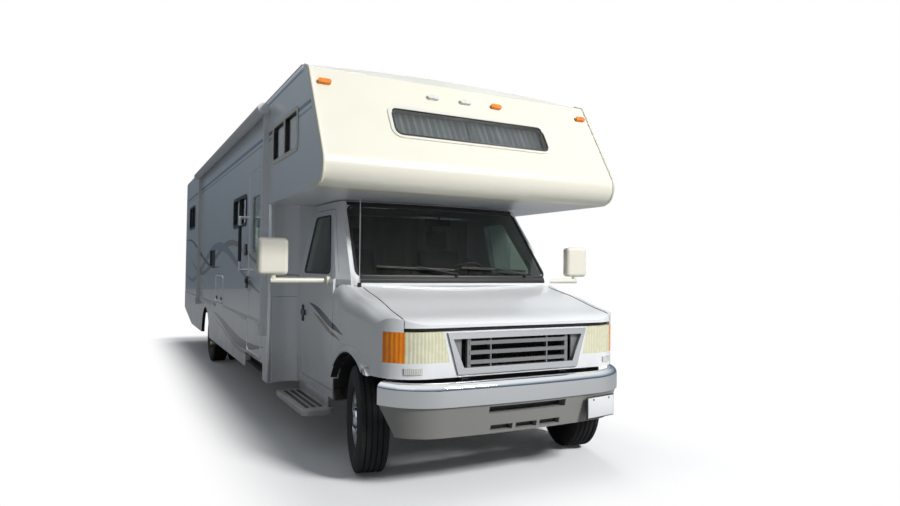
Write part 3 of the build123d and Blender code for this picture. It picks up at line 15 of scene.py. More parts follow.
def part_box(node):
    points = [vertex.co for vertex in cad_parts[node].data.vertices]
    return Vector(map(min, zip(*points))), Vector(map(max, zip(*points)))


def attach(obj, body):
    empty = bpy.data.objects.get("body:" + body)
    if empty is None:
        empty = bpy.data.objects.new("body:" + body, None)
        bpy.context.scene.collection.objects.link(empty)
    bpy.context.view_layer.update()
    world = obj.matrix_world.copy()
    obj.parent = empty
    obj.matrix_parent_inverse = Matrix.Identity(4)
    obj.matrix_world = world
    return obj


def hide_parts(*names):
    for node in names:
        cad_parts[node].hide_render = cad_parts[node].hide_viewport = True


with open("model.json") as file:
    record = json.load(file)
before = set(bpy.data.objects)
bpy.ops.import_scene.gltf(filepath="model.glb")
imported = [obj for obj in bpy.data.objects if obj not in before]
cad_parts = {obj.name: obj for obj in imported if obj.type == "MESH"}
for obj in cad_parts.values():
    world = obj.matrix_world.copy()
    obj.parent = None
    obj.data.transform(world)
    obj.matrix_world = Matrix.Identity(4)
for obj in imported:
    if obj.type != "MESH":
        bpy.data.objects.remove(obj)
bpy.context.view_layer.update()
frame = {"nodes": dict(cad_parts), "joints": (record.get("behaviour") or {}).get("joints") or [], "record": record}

nodes = frame["nodes"]

# %% [markdown]
# ## Camera
# The photograph was taken from low at the kerb-side front corner. The camera stands at the spot, height
# and heading that were solved from it, with the same focal length in pixels.
# %% Camera at the photograph's angle
PHOTO_WIDTH = 900
FOCAL_PIXELS = 641.2
SENSOR = 36.0
EYE = Vector((-2.487, -8.431, 1.450))
YAW, PITCH, ROLL = (math.radians(angle) for angle in (27.62, 1.24, 0.78))

forward = Vector((math.sin(YAW) * math.cos(PITCH), math.cos(YAW) * math.cos(PITCH), math.sin(PITCH)))
level = Vector((math.cos(YAW), -math.sin(YAW), 0))
upright = level.cross(forward)
right = math.cos(ROLL) * level + math.sin(ROLL) * upright
up = math.cos(ROLL) * upright - math.sin(ROLL) * level
camera_data = bpy.data.cameras.new("photo_camera")
camera_data.sensor_width = SENSOR
camera_data.lens = FOCAL_PIXELS * SENSOR / PHOTO_WIDTH
camera = bpy.data.objects.new("photo_camera", camera_data)
camera.matrix_world = Matrix((
    (right.x, up.x, -forward.x, EYE.x),
    (right.y, up.y, -forward.y, EYE.y),
    (right.z, up.z, -forward.z, EYE.z),
    (0, 0, 0, 1),
))
bpy.context.collection.objects.link(camera)
bpy.context.scene.camera = camera
bpy.context.scene.view_settings.view_transform = "Standard"
print("lens", round(camera_data.lens, 2), "mm")

# %% [markdown]
# ## Node helpers
# A material is a graph of nodes. A few short helpers keep the graphs readable: one places a node and
# fills its sockets, and the others do sums, mix colours and stretch values.
# %% Placing nodes
def place(tree, kind, sockets=None, **settings):
    """Add a node; a socket value that is an output socket is linked, anything else is set."""
    node = tree.nodes.new(kind)
    for name, value in settings.items():
        setattr(node, name, value)
    for name, value in (sockets or {}).items():
        if isinstance(value, bpy.types.NodeSocket):
            tree.links.new(value, node.inputs[name])
        else:
            node.inputs[name].default_value = value
    return node


def sums(tree, operation, first, second=0.0, clamp=False):
    """One Math node's result."""
    node = place(tree, "ShaderNodeMath", {0: first, 1: second}, operation=operation, use_clamp=clamp)
    return node.outputs[0]


def blend_colour(tree, factor, first, second):
    """Mix two colours by a mask."""
    node = place(tree, "ShaderNodeMix", {0: factor, 6: first, 7: second}, data_type="RGBA")
    return node.outputs[2]


def ramp(tree, value, low, high):
    """Smooth step from 0 at low to 1 at high."""
    node = place(tree, "ShaderNodeMapRange", {"Value": value, "From Min": low, "From Max": high},
                 interpolation_type="SMOOTHSTEP")
    return node.outputs["Result"]


def span(tree, value, low, high):
    """A value between 0 and 1 stretched to a range."""
    node = place(tree, "ShaderNodeMapRange", {"Value": value, "To Min": low, "To Max": high})
    return node.outputs["Result"]


def axes(tree, coordinates):
    """X, Y and Z of a place."""
    return place(tree, "ShaderNodeSeparateXYZ", {0: coordinates}).outputs


def feed(shader, **sockets):
    """Link results to a shader's sockets."""
    for name, result in sockets.items():
        shader.id_data.links.new(result, shader.inputs[name.replace("_", " ")])


# %% [markdown]
# A material starts with its shader and the object's own coordinates. A group is a graph that several
# materials share.
# %% Materials and groups
def new_material(name, **sockets):
    """A material with a Principled shader; returns its tree, shader and Object coordinates."""
    material = bpy.data.materials.new(name)
    material.use_nodes = True
    tree = material.node_tree
    tree.nodes.clear()
    shader = place(tree, "ShaderNodeBsdfPrincipled",
                   {key.replace("_", " "): value for key, value in sockets.items()})
    output = place(tree, "ShaderNodeOutputMaterial")
    tree.links.new(shader.outputs["BSDF"], output.inputs["Surface"])
    coordinates = place(tree, "ShaderNodeTexCoord").outputs["Object"]
    return material, tree, shader, coordinates


def new_group(name, inputs, outputs):
    """A shader node group; inputs and outputs are (socket name, socket type, default) rows."""
    tree = bpy.data.node_groups.new(name, "ShaderNodeTree")
    for in_out, rows in (("INPUT", inputs), ("OUTPUT", outputs)):
        for label, kind, default in rows:
            socket = tree.interface.new_socket(label, in_out=in_out, socket_type="NodeSocket" + kind)
            if default is not None:
                socket.default_value = default
    entry = place(tree, "NodeGroupInput")
    leave = place(tree, "NodeGroupOutput")
    return tree, entry.outputs, leave.inputs


def use_group(tree, group, **sockets):
    """Place a shared group in a material and fill its sockets."""
    filled = {key.replace("_", " "): value for key, value in sockets.items()}
    return place(tree, "ShaderNodeGroup", filled, node_tree=group).outputs


def rgba(red, green, blue):
    return (red, green, blue, 1.0)


# %% [markdown]
# ## Effects that many finishes share
# Road dust gathers low on the body and in soft clouds. Moulded and painted skins have a fine grain that
# only the reflections show. A painted stripe is a band about a line. Each is a group, made once.
# %% Weathering group
weathering, taken, given = new_group(
    "Weathering",
    [("Vector", "Vector", None), ("Paint", "Color", rgba(0.8, 0.8, 0.8)),
     ("Dust", "Color", rgba(0.3, 0.27, 0.22)),
     ("Dust Height", "Float", 0.7), ("Dust Amount", "Float", 0.4), ("Cloud Scale", "Float", 2.0)],
    [("Color", "Color", None), ("Dirt", "Float", None)],
)
clouds = place(weathering, "ShaderNodeTexNoise",
               {"Vector": taken["Vector"], "Scale": taken["Cloud Scale"], "Detail": 5.0})
low_down = ramp(weathering, axes(weathering, taken["Vector"])["Z"], taken["Dust Height"], 0.0)
patchy = sums(weathering, "MULTIPLY", low_down, ramp(weathering, clouds.outputs["Fac"], 0.25, 0.7))
film = sums(weathering, "MULTIPLY", ramp(weathering, clouds.outputs["Fac"], 0.45, 0.85), 0.12)
dirt = sums(weathering, "MULTIPLY", sums(weathering, "ADD", patchy, film), taken["Dust Amount"], clamp=True)
weathering.links.new(blend_colour(weathering, dirt, taken["Paint"], taken["Dust"]), given["Color"])
weathering.links.new(dirt, given["Dirt"])

# %% Grain group
grain, taken, given = new_group(
    "Surface Grain",
    [("Vector", "Vector", None), ("Scale", "Float", 300.0), ("Strength", "Float", 0.1),
     ("Depth", "Float", 0.001)],
    [("Normal", "Vector", None), ("Fleck", "Float", None)],
)
speckle = place(grain, "ShaderNodeTexNoise", {"Vector": taken["Vector"], "Scale": taken["Scale"],
                                              "Detail": 3.0})
pressed = place(grain, "ShaderNodeBump", {"Height": speckle.outputs["Fac"], "Strength": taken["Strength"],
                                          "Distance": taken["Depth"]})
grain.links.new(pressed.outputs["Normal"], given["Normal"])
grain.links.new(speckle.outputs["Fac"], given["Fleck"])

# %% Swept stripe group
# The line rises and falls along the body, and the band tapers to a point at both ends.
swept_stripe, taken, given = new_group(
    "Swept Stripe",
    [("Vector", "Vector", None), ("Height", "Float", 1.0), ("Swing", "Float", 0.0), ("Length", "Float", 6.0),
     ("Shift", "Float", 0.0), ("Half Width", "Float", 0.02), ("Start", "Float", -9.0), ("End", "Float", 9.0)],
    [("Mask", "Float", None)],
)
along = axes(swept_stripe, taken["Vector"])
turns = sums(swept_stripe, "DIVIDE", sums(swept_stripe, "ADD", along["Y"], taken["Shift"]), taken["Length"])
wave = sums(swept_stripe, "SINE", sums(swept_stripe, "MULTIPLY", turns, 2 * math.pi))
line = sums(swept_stripe, "ADD", taken["Height"], sums(swept_stripe, "MULTIPLY", wave, taken["Swing"]))
away = sums(swept_stripe, "ABSOLUTE", sums(swept_stripe, "SUBTRACT", along["Z"], line))
share = place(swept_stripe, "ShaderNodeMapRange",
              {"Value": along["Y"], "From Min": taken["Start"], "From Max": taken["End"]}).outputs["Result"]
taper = sums(swept_stripe, "SINE", sums(swept_stripe, "MULTIPLY", share, math.pi))
reach = sums(swept_stripe, "MULTIPLY", taken["Half Width"], taper)
swept_stripe.links.new(sums(swept_stripe, "LESS_THAN", away, reach), given["Mask"])
print("shared effects:", [group.name for group in bpy.data.node_groups])

# %% [markdown]
# ## Painted skins
# Cab, coach and cap are painted or gel-coated white and ivory. A paint is a pale colour under a clear
# coat, with dust that dulls it low down. The coach sides carry common swept stripes, so their paint is
# the same recipe with a few bands mixed in.
# %% Dust, stripes and masks
DUST = rgba(0.30, 0.27, 0.22)
SLATE = rgba(0.045, 0.06, 0.085)
TAN = rgba(0.36, 0.29, 0.20)
SILVER = rgba(0.34, 0.36, 0.39)
# Black of the door grips, also used as painted shade on the faces inside the wheel arches.
GRIP_BLACK_AND_ARCH_SHADE = rgba(0.012, 0.012, 0.012)
HUB_HEIGHT = 0.372
ARCH_MARGIN = 0.002
FRONT_ARCH = (-4.095, 0.465)
REAR_ARCH = (1.715, 0.43)
DOOR_GRIP = ((1.010, 1.030), (-2.938, -2.812), (1.012, 1.065))


def weathered(tree, shader, coordinates, colour, roughness, dust_height, dust_amount, grain_scale, strength,
              cloud_scale=2.6, dusty_roughness=0.85):
    """Feed a shader with a dusty colour, a roughness that follows the dust, and a fine grain."""
    worn = use_group(tree, weathering, Vector=coordinates, Paint=colour, Dust=DUST, Dust_Height=dust_height,
                     Dust_Amount=dust_amount, Cloud_Scale=cloud_scale)
    skin = use_group(tree, grain, Vector=coordinates, Scale=grain_scale, Strength=strength, Depth=0.001)
    feed(shader, Base_Color=worn["Color"], Roughness=span(tree, worn["Dirt"], roughness, dusty_roughness),
         Normal=skin["Normal"])


def striped(tree, coordinates, colour, rows):
    """Lay swept stripes over a colour; the tables of stripes name the columns of a row."""
    for paint, height, swing, length, shift, half_width, start, end in rows:
        band = use_group(tree, swept_stripe, Vector=coordinates, Height=height, Swing=swing, Length=length,
                         Shift=shift, Half_Width=half_width, Start=start, End=end)
        colour = blend_colour(tree, band["Mask"], colour, paint)
    return colour


# This mask picks the faces that are painted black as the shade in the wheel wells.
def inside_arch(tree, coordinates, axle_y, radius):
    """Mask of the faces cut by a wheel arch: nearer to the axle's line than the arch's edge."""
    place_of = axes(tree, coordinates)
    along = sums(tree, "SUBTRACT", place_of["Y"], axle_y)
    above = sums(tree, "SUBTRACT", place_of["Z"], HUB_HEIGHT)
    squares = sums(tree, "ADD", sums(tree, "MULTIPLY", along, along), sums(tree, "MULTIPLY", above, above))
    return sums(tree, "LESS_THAN", squares, (radius + ARCH_MARGIN) ** 2)


def inside_box(tree, coordinates, spans):
    """Mask of the places whose distance from the middle plane, station and height lie in three spans."""
    place_of = axes(tree, coordinates)
    mask = 1.0
    for axis, (low, high) in zip("XYZ", spans):
        value = sums(tree, "ABSOLUTE", place_of["X"]) if axis == "X" else place_of[axis]
        mask = sums(tree, "MULTIPLY", mask, sums(tree, "GREATER_THAN", value, low))
        mask = sums(tree, "MULTIPLY", mask, sums(tree, "LESS_THAN", value, high))
    return mask


# %% Paint recipe
def paint_finish(name, colour, roughness=0.3, dust_height=1.0, dust_amount=0.45, stripes=(), arch=None,
                 grip=None):
    """Clear-coated paint; the faces on a grip are black, and the faces inside an arch are black as painted shade.
    """
    material, tree, shader, coordinates = new_material(name, Coat_Weight=0.5, Coat_Roughness=0.06)
    colour = striped(tree, coordinates, colour, stripes)
    # Painted shade: the faces inside a wheel arch are made black.
    if arch:
        colour = blend_colour(tree, inside_arch(tree, coordinates, *arch), colour, GRIP_BLACK_AND_ARCH_SHADE)
    if grip:
        colour = blend_colour(tree, inside_box(tree, coordinates, grip), colour, GRIP_BLACK_AND_ARCH_SHADE)
    weathered(tree, shader, coordinates, colour, roughness, dust_height, dust_amount, 40.0, 0.012)
    return material


# %% Stripes and paints
# Columns: paint, height, swing, length, shift, half width, start, end (metres along the body)
COACH_STRIPES = (
    (SLATE, 2.625, 0.0, 6.0, 0.0, 0.019, -10.0, 10.0),
    (SILVER, 2.572, 0.0, 6.0, 0.0, 0.012, -10.0, 10.0),
    (TAN, 1.50, 0.20, 5.6, 1.9, 0.040, -2.9, 4.2),
    (SILVER, 1.42, 0.26, 6.4, 1.1, 0.055, -2.7, 4.9),
    (SLATE, 1.64, 0.24, 7.2, 4.6, 0.030, 0.2, 4.9),
    (SLATE, 0.70, 0.09, 4.6, 0.2, 0.055, -2.5, 0.9),
    (TAN, 0.62, 0.09, 4.6, 0.2, 0.022, -2.2, 0.7),
)
CAB_STRIPES = (
    (SLATE, 1.035, 0.100, 2.4, 3.50, 0.030, -3.95, -3.02),
    (TAN, 0.985, 0.105, 2.4, 3.46, 0.019, -3.88, -3.14),
)
finishes = {
    "cab_white": paint_finish("cab_white_paint", rgba(0.80, 0.81, 0.82), stripes=CAB_STRIPES, arch=FRONT_ARCH,
                              grip=DOOR_GRIP),
    "coach_white": paint_finish("coach_white_gelcoat", rgba(0.76, 0.78, 0.80), stripes=COACH_STRIPES,
                                arch=REAR_ARCH),
    "cap_ivory": paint_finish("ivory_gelcoat", rgba(0.80, 0.77, 0.655), roughness=0.34),
    "board_white": paint_finish("running_board_white", rgba(0.70, 0.71, 0.71), roughness=0.45,
                                dust_amount=0.7),
}
print("paints:", list(finishes))

# %% [markdown]
# ## Metals
# Chrome, aluminium and bare steel differ in how sharp their reflections are. A cloudy smear in the
# roughness keeps them from looking like perfect mirrors.
# %% Metal finishes
METAL_DUST_HEIGHT = 0.55
METAL_GRAIN = 220.0


def metal_finish(name, colour, roughness, smear, grain_strength=0.0):
    """Metal with a cloudy smear of dust."""
    material, tree, shader, coordinates = new_material(name, Metallic=1.0)
    weathered(tree, shader, coordinates, colour, roughness, METAL_DUST_HEIGHT, smear, METAL_GRAIN,
              grain_strength, cloud_scale=7.0, dusty_roughness=0.7)
    return material


# Columns: slot, colour, roughness, smear, grain strength
for slot, colour, roughness, smear, strength in (
    ("chrome", rgba(0.80, 0.81, 0.82), 0.05, 0.05, 0.002),
    ("wheel_chrome", rgba(0.62, 0.63, 0.65), 0.16, 0.35, 0.01),
    ("aluminium_trim", rgba(0.74, 0.75, 0.76), 0.34, 0.15, 0.03),
    ("pipe_steel", rgba(0.30, 0.26, 0.22), 0.5, 0.6, 0.2),
):
    finishes[slot] = metal_finish(slot + "_metal", colour, roughness, smear, strength)
    print("metal:", slot)

# %% [markdown]
# ## Plastics, rubber and cast iron
# These are dull. What tells them apart is the grain: moulded plastic is fine, rubber and cast iron are
# coarser, and the roof sheet is chalky. One recipe with a table of values covers them all.
# %% Dull finishes
def dull_finish(name, colour, roughness, grain_scale, strength, dust_height, dust_amount):
    """Plastic, rubber or iron: no coat, a grain and dust."""
    material, tree, shader, coordinates = new_material(name)
    weathered(tree, shader, coordinates, colour, roughness, dust_height, dust_amount, grain_scale, strength)
    return material


# Columns: slot, colour, roughness, grain scale, grain strength, dust height, dust amount
for slot, colour, roughness, scale, strength, dust_height, dust_amount in (
    ("chassis_paint", rgba(0.022, 0.022, 0.024), 0.5, 120.0, 0.15, 1.0, 0.5),
    ("cast_metal", rgba(0.06, 0.06, 0.062), 0.62, 90.0, 0.5, 1.0, 0.5),
    ("step_steel", rgba(0.02, 0.02, 0.021), 0.5, 160.0, 0.2, 0.8, 0.5),
    ("tank_plastic", rgba(0.025, 0.025, 0.026), 0.6, 140.0, 0.2, 0.9, 0.5),
    ("tyre_rubber", rgba(0.008, 0.008, 0.009), 0.82, 160.0, 0.3, 0.75, 0.05),
    ("valance_grey", rgba(0.27, 0.265, 0.25), 0.36, 420.0, 0.06, 0.6, 0.25),
    ("grille_grey", rgba(0.12, 0.125, 0.13), 0.42, 300.0, 0.1, 1.0, 0.25),
    ("black_plastic", rgba(0.018, 0.018, 0.019), 0.45, 420.0, 0.15, 1.0, 0.25),
    ("dash_plastic", rgba(0.16, 0.145, 0.12), 0.6, 500.0, 0.3, 0.2, 0.0),
    ("floor_board", rgba(0.16, 0.12, 0.085), 0.7, 60.0, 0.3, 0.9, 0.4),
    ("awning_vinyl", rgba(0.74, 0.75, 0.76), 0.5, 260.0, 0.1, 1.0, 0.3),
    ("roof_membrane", rgba(0.66, 0.66, 0.63), 0.8, 80.0, 0.3, 6.0, 0.25),
):
    finishes[slot] = dull_finish(slot + "_skin", colour, roughness, scale, strength, dust_height, dust_amount)
    print("dull finish:", slot)

# %% [markdown]
# ## Glass and lamps
# Window glass is tinted and lets light through, more of it in the coach than in the cab. Lamp lenses are
# moulded with upright flutes, and the headlamps have yellowed with age.
# %% Glass finishes
def glass_finish(name, tint, roughness=0.02):
    """Tinted glass with a faint film on it."""
    sockets = {"Transmission_Weight": 1.0, "IOR": 1.45, "Base_Color": tint}
    material, tree, shader, coordinates = new_material(name, **sockets)
    film = place(tree, "ShaderNodeTexNoise", {"Vector": coordinates, "Scale": 3.0, "Detail": 4.0})
    smear = place(tree, "ShaderNodeMapRange", {"Value": film.outputs["Fac"], "From Min": 0.4, "From Max": 0.8,
                                               "To Min": roughness, "To Max": roughness + 0.05})
    feed(shader, Roughness=smear.outputs["Result"])
    return material


finishes["dark_glass"] = glass_finish("tinted_glass", rgba(0.30, 0.36, 0.33))
pale_glass = glass_finish("coach_window_glass", rgba(0.66, 0.70, 0.69))
print("glass:", finishes["dark_glass"].name, pale_glass.name)


# %% Lamp finishes
def lens_finish(name, colour, deep, flute_scale):
    """Glossy moulded lens with upright flutes; deep is the colour between the flutes."""
    material, tree, shader, coordinates = new_material(name, Coat_Weight=0.2, Coat_Roughness=0.04)
    flutes = place(tree, "ShaderNodeTexWave",
                   {"Vector": coordinates, "Scale": flute_scale, "Distortion": 0.0}, bands_direction="X")
    haze = place(tree, "ShaderNodeTexNoise", {"Vector": coordinates, "Scale": 14.0, "Detail": 3.0})
    depth = sums(tree, "MULTIPLY", flutes.outputs["Fac"], ramp(tree, haze.outputs["Fac"], 0.2, 0.75))
    pressed = place(tree, "ShaderNodeBump",
                    {"Height": flutes.outputs["Fac"], "Strength": 0.35, "Distance": 0.004})
    feed(shader, Base_Color=blend_colour(tree, depth, deep, colour), Normal=pressed.outputs["Normal"],
         Roughness=span(tree, haze.outputs["Fac"], 0.15, 0.4))
    return material


# Columns: slot, lens colour, colour between the flutes, flute scale
for slot, colour, deep, flute_scale in (
    ("lamp_lens", rgba(0.78, 0.76, 0.58), rgba(0.66, 0.64, 0.45), 13.0),
    ("amber_lens", rgba(1.0, 0.36, 0.0), rgba(0.86, 0.20, 0.0), 14.0),
    ("marker_lens", rgba(0.95, 0.34, 0.010), rgba(0.74, 0.17, 0.003), 30.0),
):
    finishes[slot] = lens_finish(slot + "_moulding", colour, deep, flute_scale)
clear_lens = lens_finish("clear_marker_lens", rgba(0.80, 0.80, 0.76), rgba(0.50, 0.50, 0.48), 30.0)
print("lenses:", [name for name in finishes if name.endswith("_lens")])

# %% Colours of the clearance lamps
# The markers are amber in front and red at the back, and two near the middle of the nose are clear.
PAIR_MIDDLE = -0.15
PAIR_HALF = 0.25
marker_tree = finishes["marker_lens"].node_tree
marker_shader = next(node for node in marker_tree.nodes if node.type == "BSDF_PRINCIPLED")
marker_place = axes(marker_tree, place(marker_tree, "ShaderNodeTexCoord").outputs["Object"])
at_back = sums(marker_tree, "GREATER_THAN", marker_place["Y"], 0.0)
off_middle = sums(marker_tree, "ABSOLUTE", sums(marker_tree, "SUBTRACT", marker_place["X"], PAIR_MIDDLE))
pale_pair = sums(marker_tree, "MULTIPLY", sums(marker_tree, "LESS_THAN", off_middle, PAIR_HALF),
                 sums(marker_tree, "LESS_THAN", marker_place["Y"], 0.0))
amber = marker_shader.inputs["Base Color"].links[0].from_socket
mixed = blend_colour(marker_tree, at_back, amber, rgba(0.40, 0.012, 0.010))
mixed = blend_colour(marker_tree, pale_pair, mixed, rgba(0.72, 0.72, 0.68))
feed(marker_shader, Base_Color=mixed)
print("marker graph:", len(marker_tree.nodes), "nodes")

# %% Woven finish
WAVES_PER_SCALE = 6.3


def woven_finish(name, colour, thread, threads_per_metre, sheen):
    """Crossed threads: two wave textures at right angles give the colour and the relief."""
    material, tree, shader, coordinates = new_material(name, Sheen_Weight=sheen, Roughness=0.9)
    pace = threads_per_metre / WAVES_PER_SCALE
    across = place(tree, "ShaderNodeTexWave", {"Vector": coordinates, "Scale": pace})
    down = place(tree, "ShaderNodeTexWave", {"Vector": coordinates, "Scale": pace}, bands_direction="Z")
    relief = sums(tree, "MULTIPLY", across.outputs["Fac"], down.outputs["Fac"])
    fade = place(tree, "ShaderNodeTexNoise", {"Vector": coordinates, "Scale": 6.0, "Detail": 3.0})
    mottled = sums(tree, "MULTIPLY", relief, ramp(tree, fade.outputs["Fac"], 0.2, 0.8))
    pressed = place(tree, "ShaderNodeBump", {"Height": relief, "Strength": 0.4, "Distance": 0.001})
    feed(shader, Base_Color=blend_colour(tree, mottled, colour, thread), Normal=pressed.outputs["Normal"])
    return material


# Columns: name, colour, thread colour, threads per metre, sheen
seat_cloth, cab_curtain_cloth, curtain_cloth = (woven_finish(*row) for row in (
    ("seat_weave", rgba(0.15, 0.14, 0.125), rgba(0.25, 0.235, 0.21), 700.0, 0.3),
    ("cab_curtain_weave", rgba(0.36, 0.33, 0.27), rgba(0.48, 0.44, 0.36), 500.0, 0.2),
    ("curtain_weave", rgba(0.26, 0.27, 0.29), rgba(0.42, 0.43, 0.45), 500.0, 0.2),
))
finishes["seat_fabric"] = seat_cloth
print("cloths:", seat_cloth.name, cab_curtain_cloth.name, curtain_cloth.name)

# %% Grille in two tones
# The frame stands forward and is chromed; the bars behind it are grey moulding.
GRILLE_STEP = -4.742
grille_skin, grille_tree, grille_shader, grille_place = new_material("grille_two_tone", Roughness=0.12)
set_back = sums(grille_tree, "GREATER_THAN", axes(grille_tree, grille_place)["Y"], GRILLE_STEP)
grille_grain = use_group(grille_tree, grain, Vector=grille_place, Scale=260.0, Strength=0.004, Depth=0.001)
feed(grille_shader, Metallic=span(grille_tree, set_back, 1.0, 0.3), Normal=grille_grain["Normal"],
     Base_Color=blend_colour(grille_tree, set_back, rgba(0.78, 0.79, 0.80), rgba(0.24, 0.24, 0.24)))
print("grille graph:", len(grille_tree.nodes), "nodes")

# %% Window frames
# Frames on the coach are black. Above the cab their outer rims are pale, and so is the frame on the nose.
OVER_CAB = -2.70
ON_NOSE = -3.75
RIM_FACE = 1.2715
frame_skin, frame_tree, frame_shader, frame_place = new_material("window_frame_skin")
frame_spot = axes(frame_tree, frame_place)
on_rim = sums(frame_tree, "GREATER_THAN", sums(frame_tree, "ABSOLUTE", frame_spot["X"]), RIM_FACE)
rim_or_nose = sums(frame_tree, "MAXIMUM", on_rim, sums(frame_tree, "LESS_THAN", frame_spot["Y"], ON_NOSE))
over_cab = sums(frame_tree, "LESS_THAN", frame_spot["Y"], OVER_CAB)
pale_part = sums(frame_tree, "MULTIPLY", rim_or_nose, over_cab)
frame_colour = blend_colour(frame_tree, pale_part, rgba(0.018, 0.018, 0.019), rgba(0.74, 0.72, 0.64))
weathered(frame_tree, frame_shader, frame_place, frame_colour, 0.45, 1.0, 0.25, 420.0, 0.1)
print("window frame graph:", len(frame_tree.nodes), "nodes")

# %% Give every node its finish
own_finish = {"grille": grille_skin, "coach_window_frames": frame_skin, "coach_glass": pale_glass}
for row in frame["record"]["subparts"]:
    for material_slot in nodes[row["node"]].material_slots:
        material_slot.material = own_finish.get(row["node"], finishes[row["material_slot"]])
print("finishes:", len(finishes))

# %% [markdown]
# ## Floor and light
# A wide pale floor carries the shadow. One large soft lamp stands in front on the driver's side, as the
# sun does in the photograph, so the kerb side lies in shade. The world fills in. It is plain white to the
# camera and through glass, and gloss sees it as a sky that darkens to the horizon.
# %% Stage floor
FLOOR_SIZE = 60.0
floor_form = bmesh.new()
bmesh.ops.create_grid(floor_form, x_segments=1, y_segments=1, size=FLOOR_SIZE / 2)
floor_mesh = bpy.data.meshes.new("floor")
floor_form.to_mesh(floor_mesh)
floor_form.free()
floor = bpy.data.objects.new("floor", floor_mesh)
bpy.context.collection.objects.link(floor)
print("floor:", FLOOR_SIZE, "m wide")

# %% Floor near the vehicle
# Its pale speckle shows to the camera only; other rays meet a darker grey, so it throws up less light.
FLOOR_BOUNCE = rgba(0.33, 0.34, 0.35)
FLOOR_GLOW = 0.02
floor_paint, floor_tree, floor_shader, floor_place = new_material("pale_floor", Roughness=0.9)
floor_grain = place(floor_tree, "ShaderNodeTexNoise", {"Vector": floor_place, "Scale": 30.0})
floor_rays = place(floor_tree, "ShaderNodeLightPath").outputs
floor_speckle = blend_colour(floor_tree, floor_grain.outputs["Fac"], rgba(0.90, 0.90, 0.91),
                             rgba(0.94, 0.94, 0.94))
floor_colour = blend_colour(floor_tree, floor_rays["Is Camera Ray"], FLOOR_BOUNCE, floor_speckle)
feed(floor_shader, Base_Color=floor_colour)
floor_seen = sums(floor_tree, "MAXIMUM", floor_rays["Is Camera Ray"], floor_rays["Is Transmission Ray"])
floor_glow = place(floor_tree, "ShaderNodeEmission",
                   {"Strength": sums(floor_tree, "MULTIPLY", floor_seen, FLOOR_GLOW)})
floor_near = place(floor_tree, "ShaderNodeAddShader",
                   {0: floor_shader.outputs["BSDF"], 1: floor_glow.outputs[0]})
print("floor paint:", floor_paint.name)

# %% Floor further off
# Past the vehicle's footprint the floor fades to plain white.
FLOOR_FADE = (0.02, 0.75)
GLOSS_SHARE = 0.15
FOOTPRINT = (("X", 1.2), ("Y", 4.8))
floor_spot = axes(floor_tree, floor_place)
beyond = []
for axis, half in FOOTPRINT:
    past = sums(floor_tree, "SUBTRACT", sums(floor_tree, "ABSOLUTE", floor_spot[axis]), half)
    past = sums(floor_tree, "MAXIMUM", past, 0.0)
    beyond.append(sums(floor_tree, "MULTIPLY", past, past))
floor_reach = sums(floor_tree, "SQRT", sums(floor_tree, "ADD", *beyond))
floor_gloss = sums(floor_tree, "MULTIPLY", floor_rays["Is Glossy Ray"], GLOSS_SHARE)
floor_far = sums(floor_tree, "MULTIPLY", ramp(floor_tree, floor_reach, *FLOOR_FADE),
                 sums(floor_tree, "MAXIMUM", floor_seen, floor_gloss))
floor_white = place(floor_tree, "ShaderNodeEmission", {"Strength": 1.0})
floor_mix = place(floor_tree, "ShaderNodeMixShader",
                  {0: floor_far, 1: floor_near.outputs[0], 2: floor_white.outputs[0]})
floor_end = next(node for node in floor_tree.nodes if node.type == "OUTPUT_MATERIAL")
floor_tree.links.new(floor_mix.outputs[0], floor_end.inputs["Surface"])
floor_mesh.materials.append(floor_paint)
print("floor graph:", len(floor_tree.nodes), "nodes")

# %% World
SKY_LEVEL = 0.16
SKY_TINT = rgba(0.86, 0.94, 1.0)
world = bpy.data.worlds.new("studio")
bpy.context.scene.world = world
world.use_nodes = True
sky = world.node_tree
sky.nodes.clear()
rays = place(sky, "ShaderNodeLightPath").outputs
facing = axes(sky, place(sky, "ShaderNodeTexCoord").outputs["Generated"])["Z"]
overhead = ramp(sky, facing, -0.05, 0.75)
lit = span(sky, overhead, 0.6 * SKY_LEVEL, 1.4 * SKY_LEVEL)
shown = span(sky, overhead, 0.14, 1.0)
mirrored = place(sky, "ShaderNodeMix", {0: rays["Is Glossy Ray"], 2: lit, 3: shown})
seen = sums(sky, "MAXIMUM", rays["Is Camera Ray"], rays["Is Transmission Ray"])
strength = place(sky, "ShaderNodeMix", {0: seen, 2: mirrored.outputs[0], 3: 1.0}).outputs[0]
low_sky = blend_colour(sky, overhead, rgba(0.60, 0.78, 1.0), rgba(0.95, 0.98, 1.0))
open_sky = blend_colour(sky, rays["Is Glossy Ray"], SKY_TINT, low_sky)
tint = blend_colour(sky, seen, open_sky, rgba(1.0, 1.0, 1.0))
glow = place(sky, "ShaderNodeBackground", {"Color": tint, "Strength": strength})
sky.links.new(glow.outputs["Background"], place(sky, "ShaderNodeOutputWorld").inputs["Surface"])
print("world graph:", len(sky.nodes), "nodes")

# %% Lamps
# Columns: name, place, aim, size, watts
for name, spot, aim, size, watts in (
    ("key_lamp", (5.2, -16.2, 10.2), (0.0, -3.0, 1.5), 3.2, 2700.0),
    ("fill_lamp", (-10.0, -10.0, 6.0), (0.0, -1.0, 1.4), 7.0, 20.0),
    ("rear_lamp", (6.0, 12.0, 9.0), (0.0, 2.0, 1.5), 6.0, 800.0),
):
    lamp_data = bpy.data.lights.new(name, "AREA")
    lamp_data.size = size
    lamp_data.energy = watts
    lamp = bpy.data.objects.new(name, lamp_data)
    lamp.location = spot
    lamp.rotation_euler = (Vector(aim) - Vector(spot)).to_track_quat("-Z", "Y").to_euler()
    bpy.context.collection.objects.link(lamp)
    print(name, watts, "W")

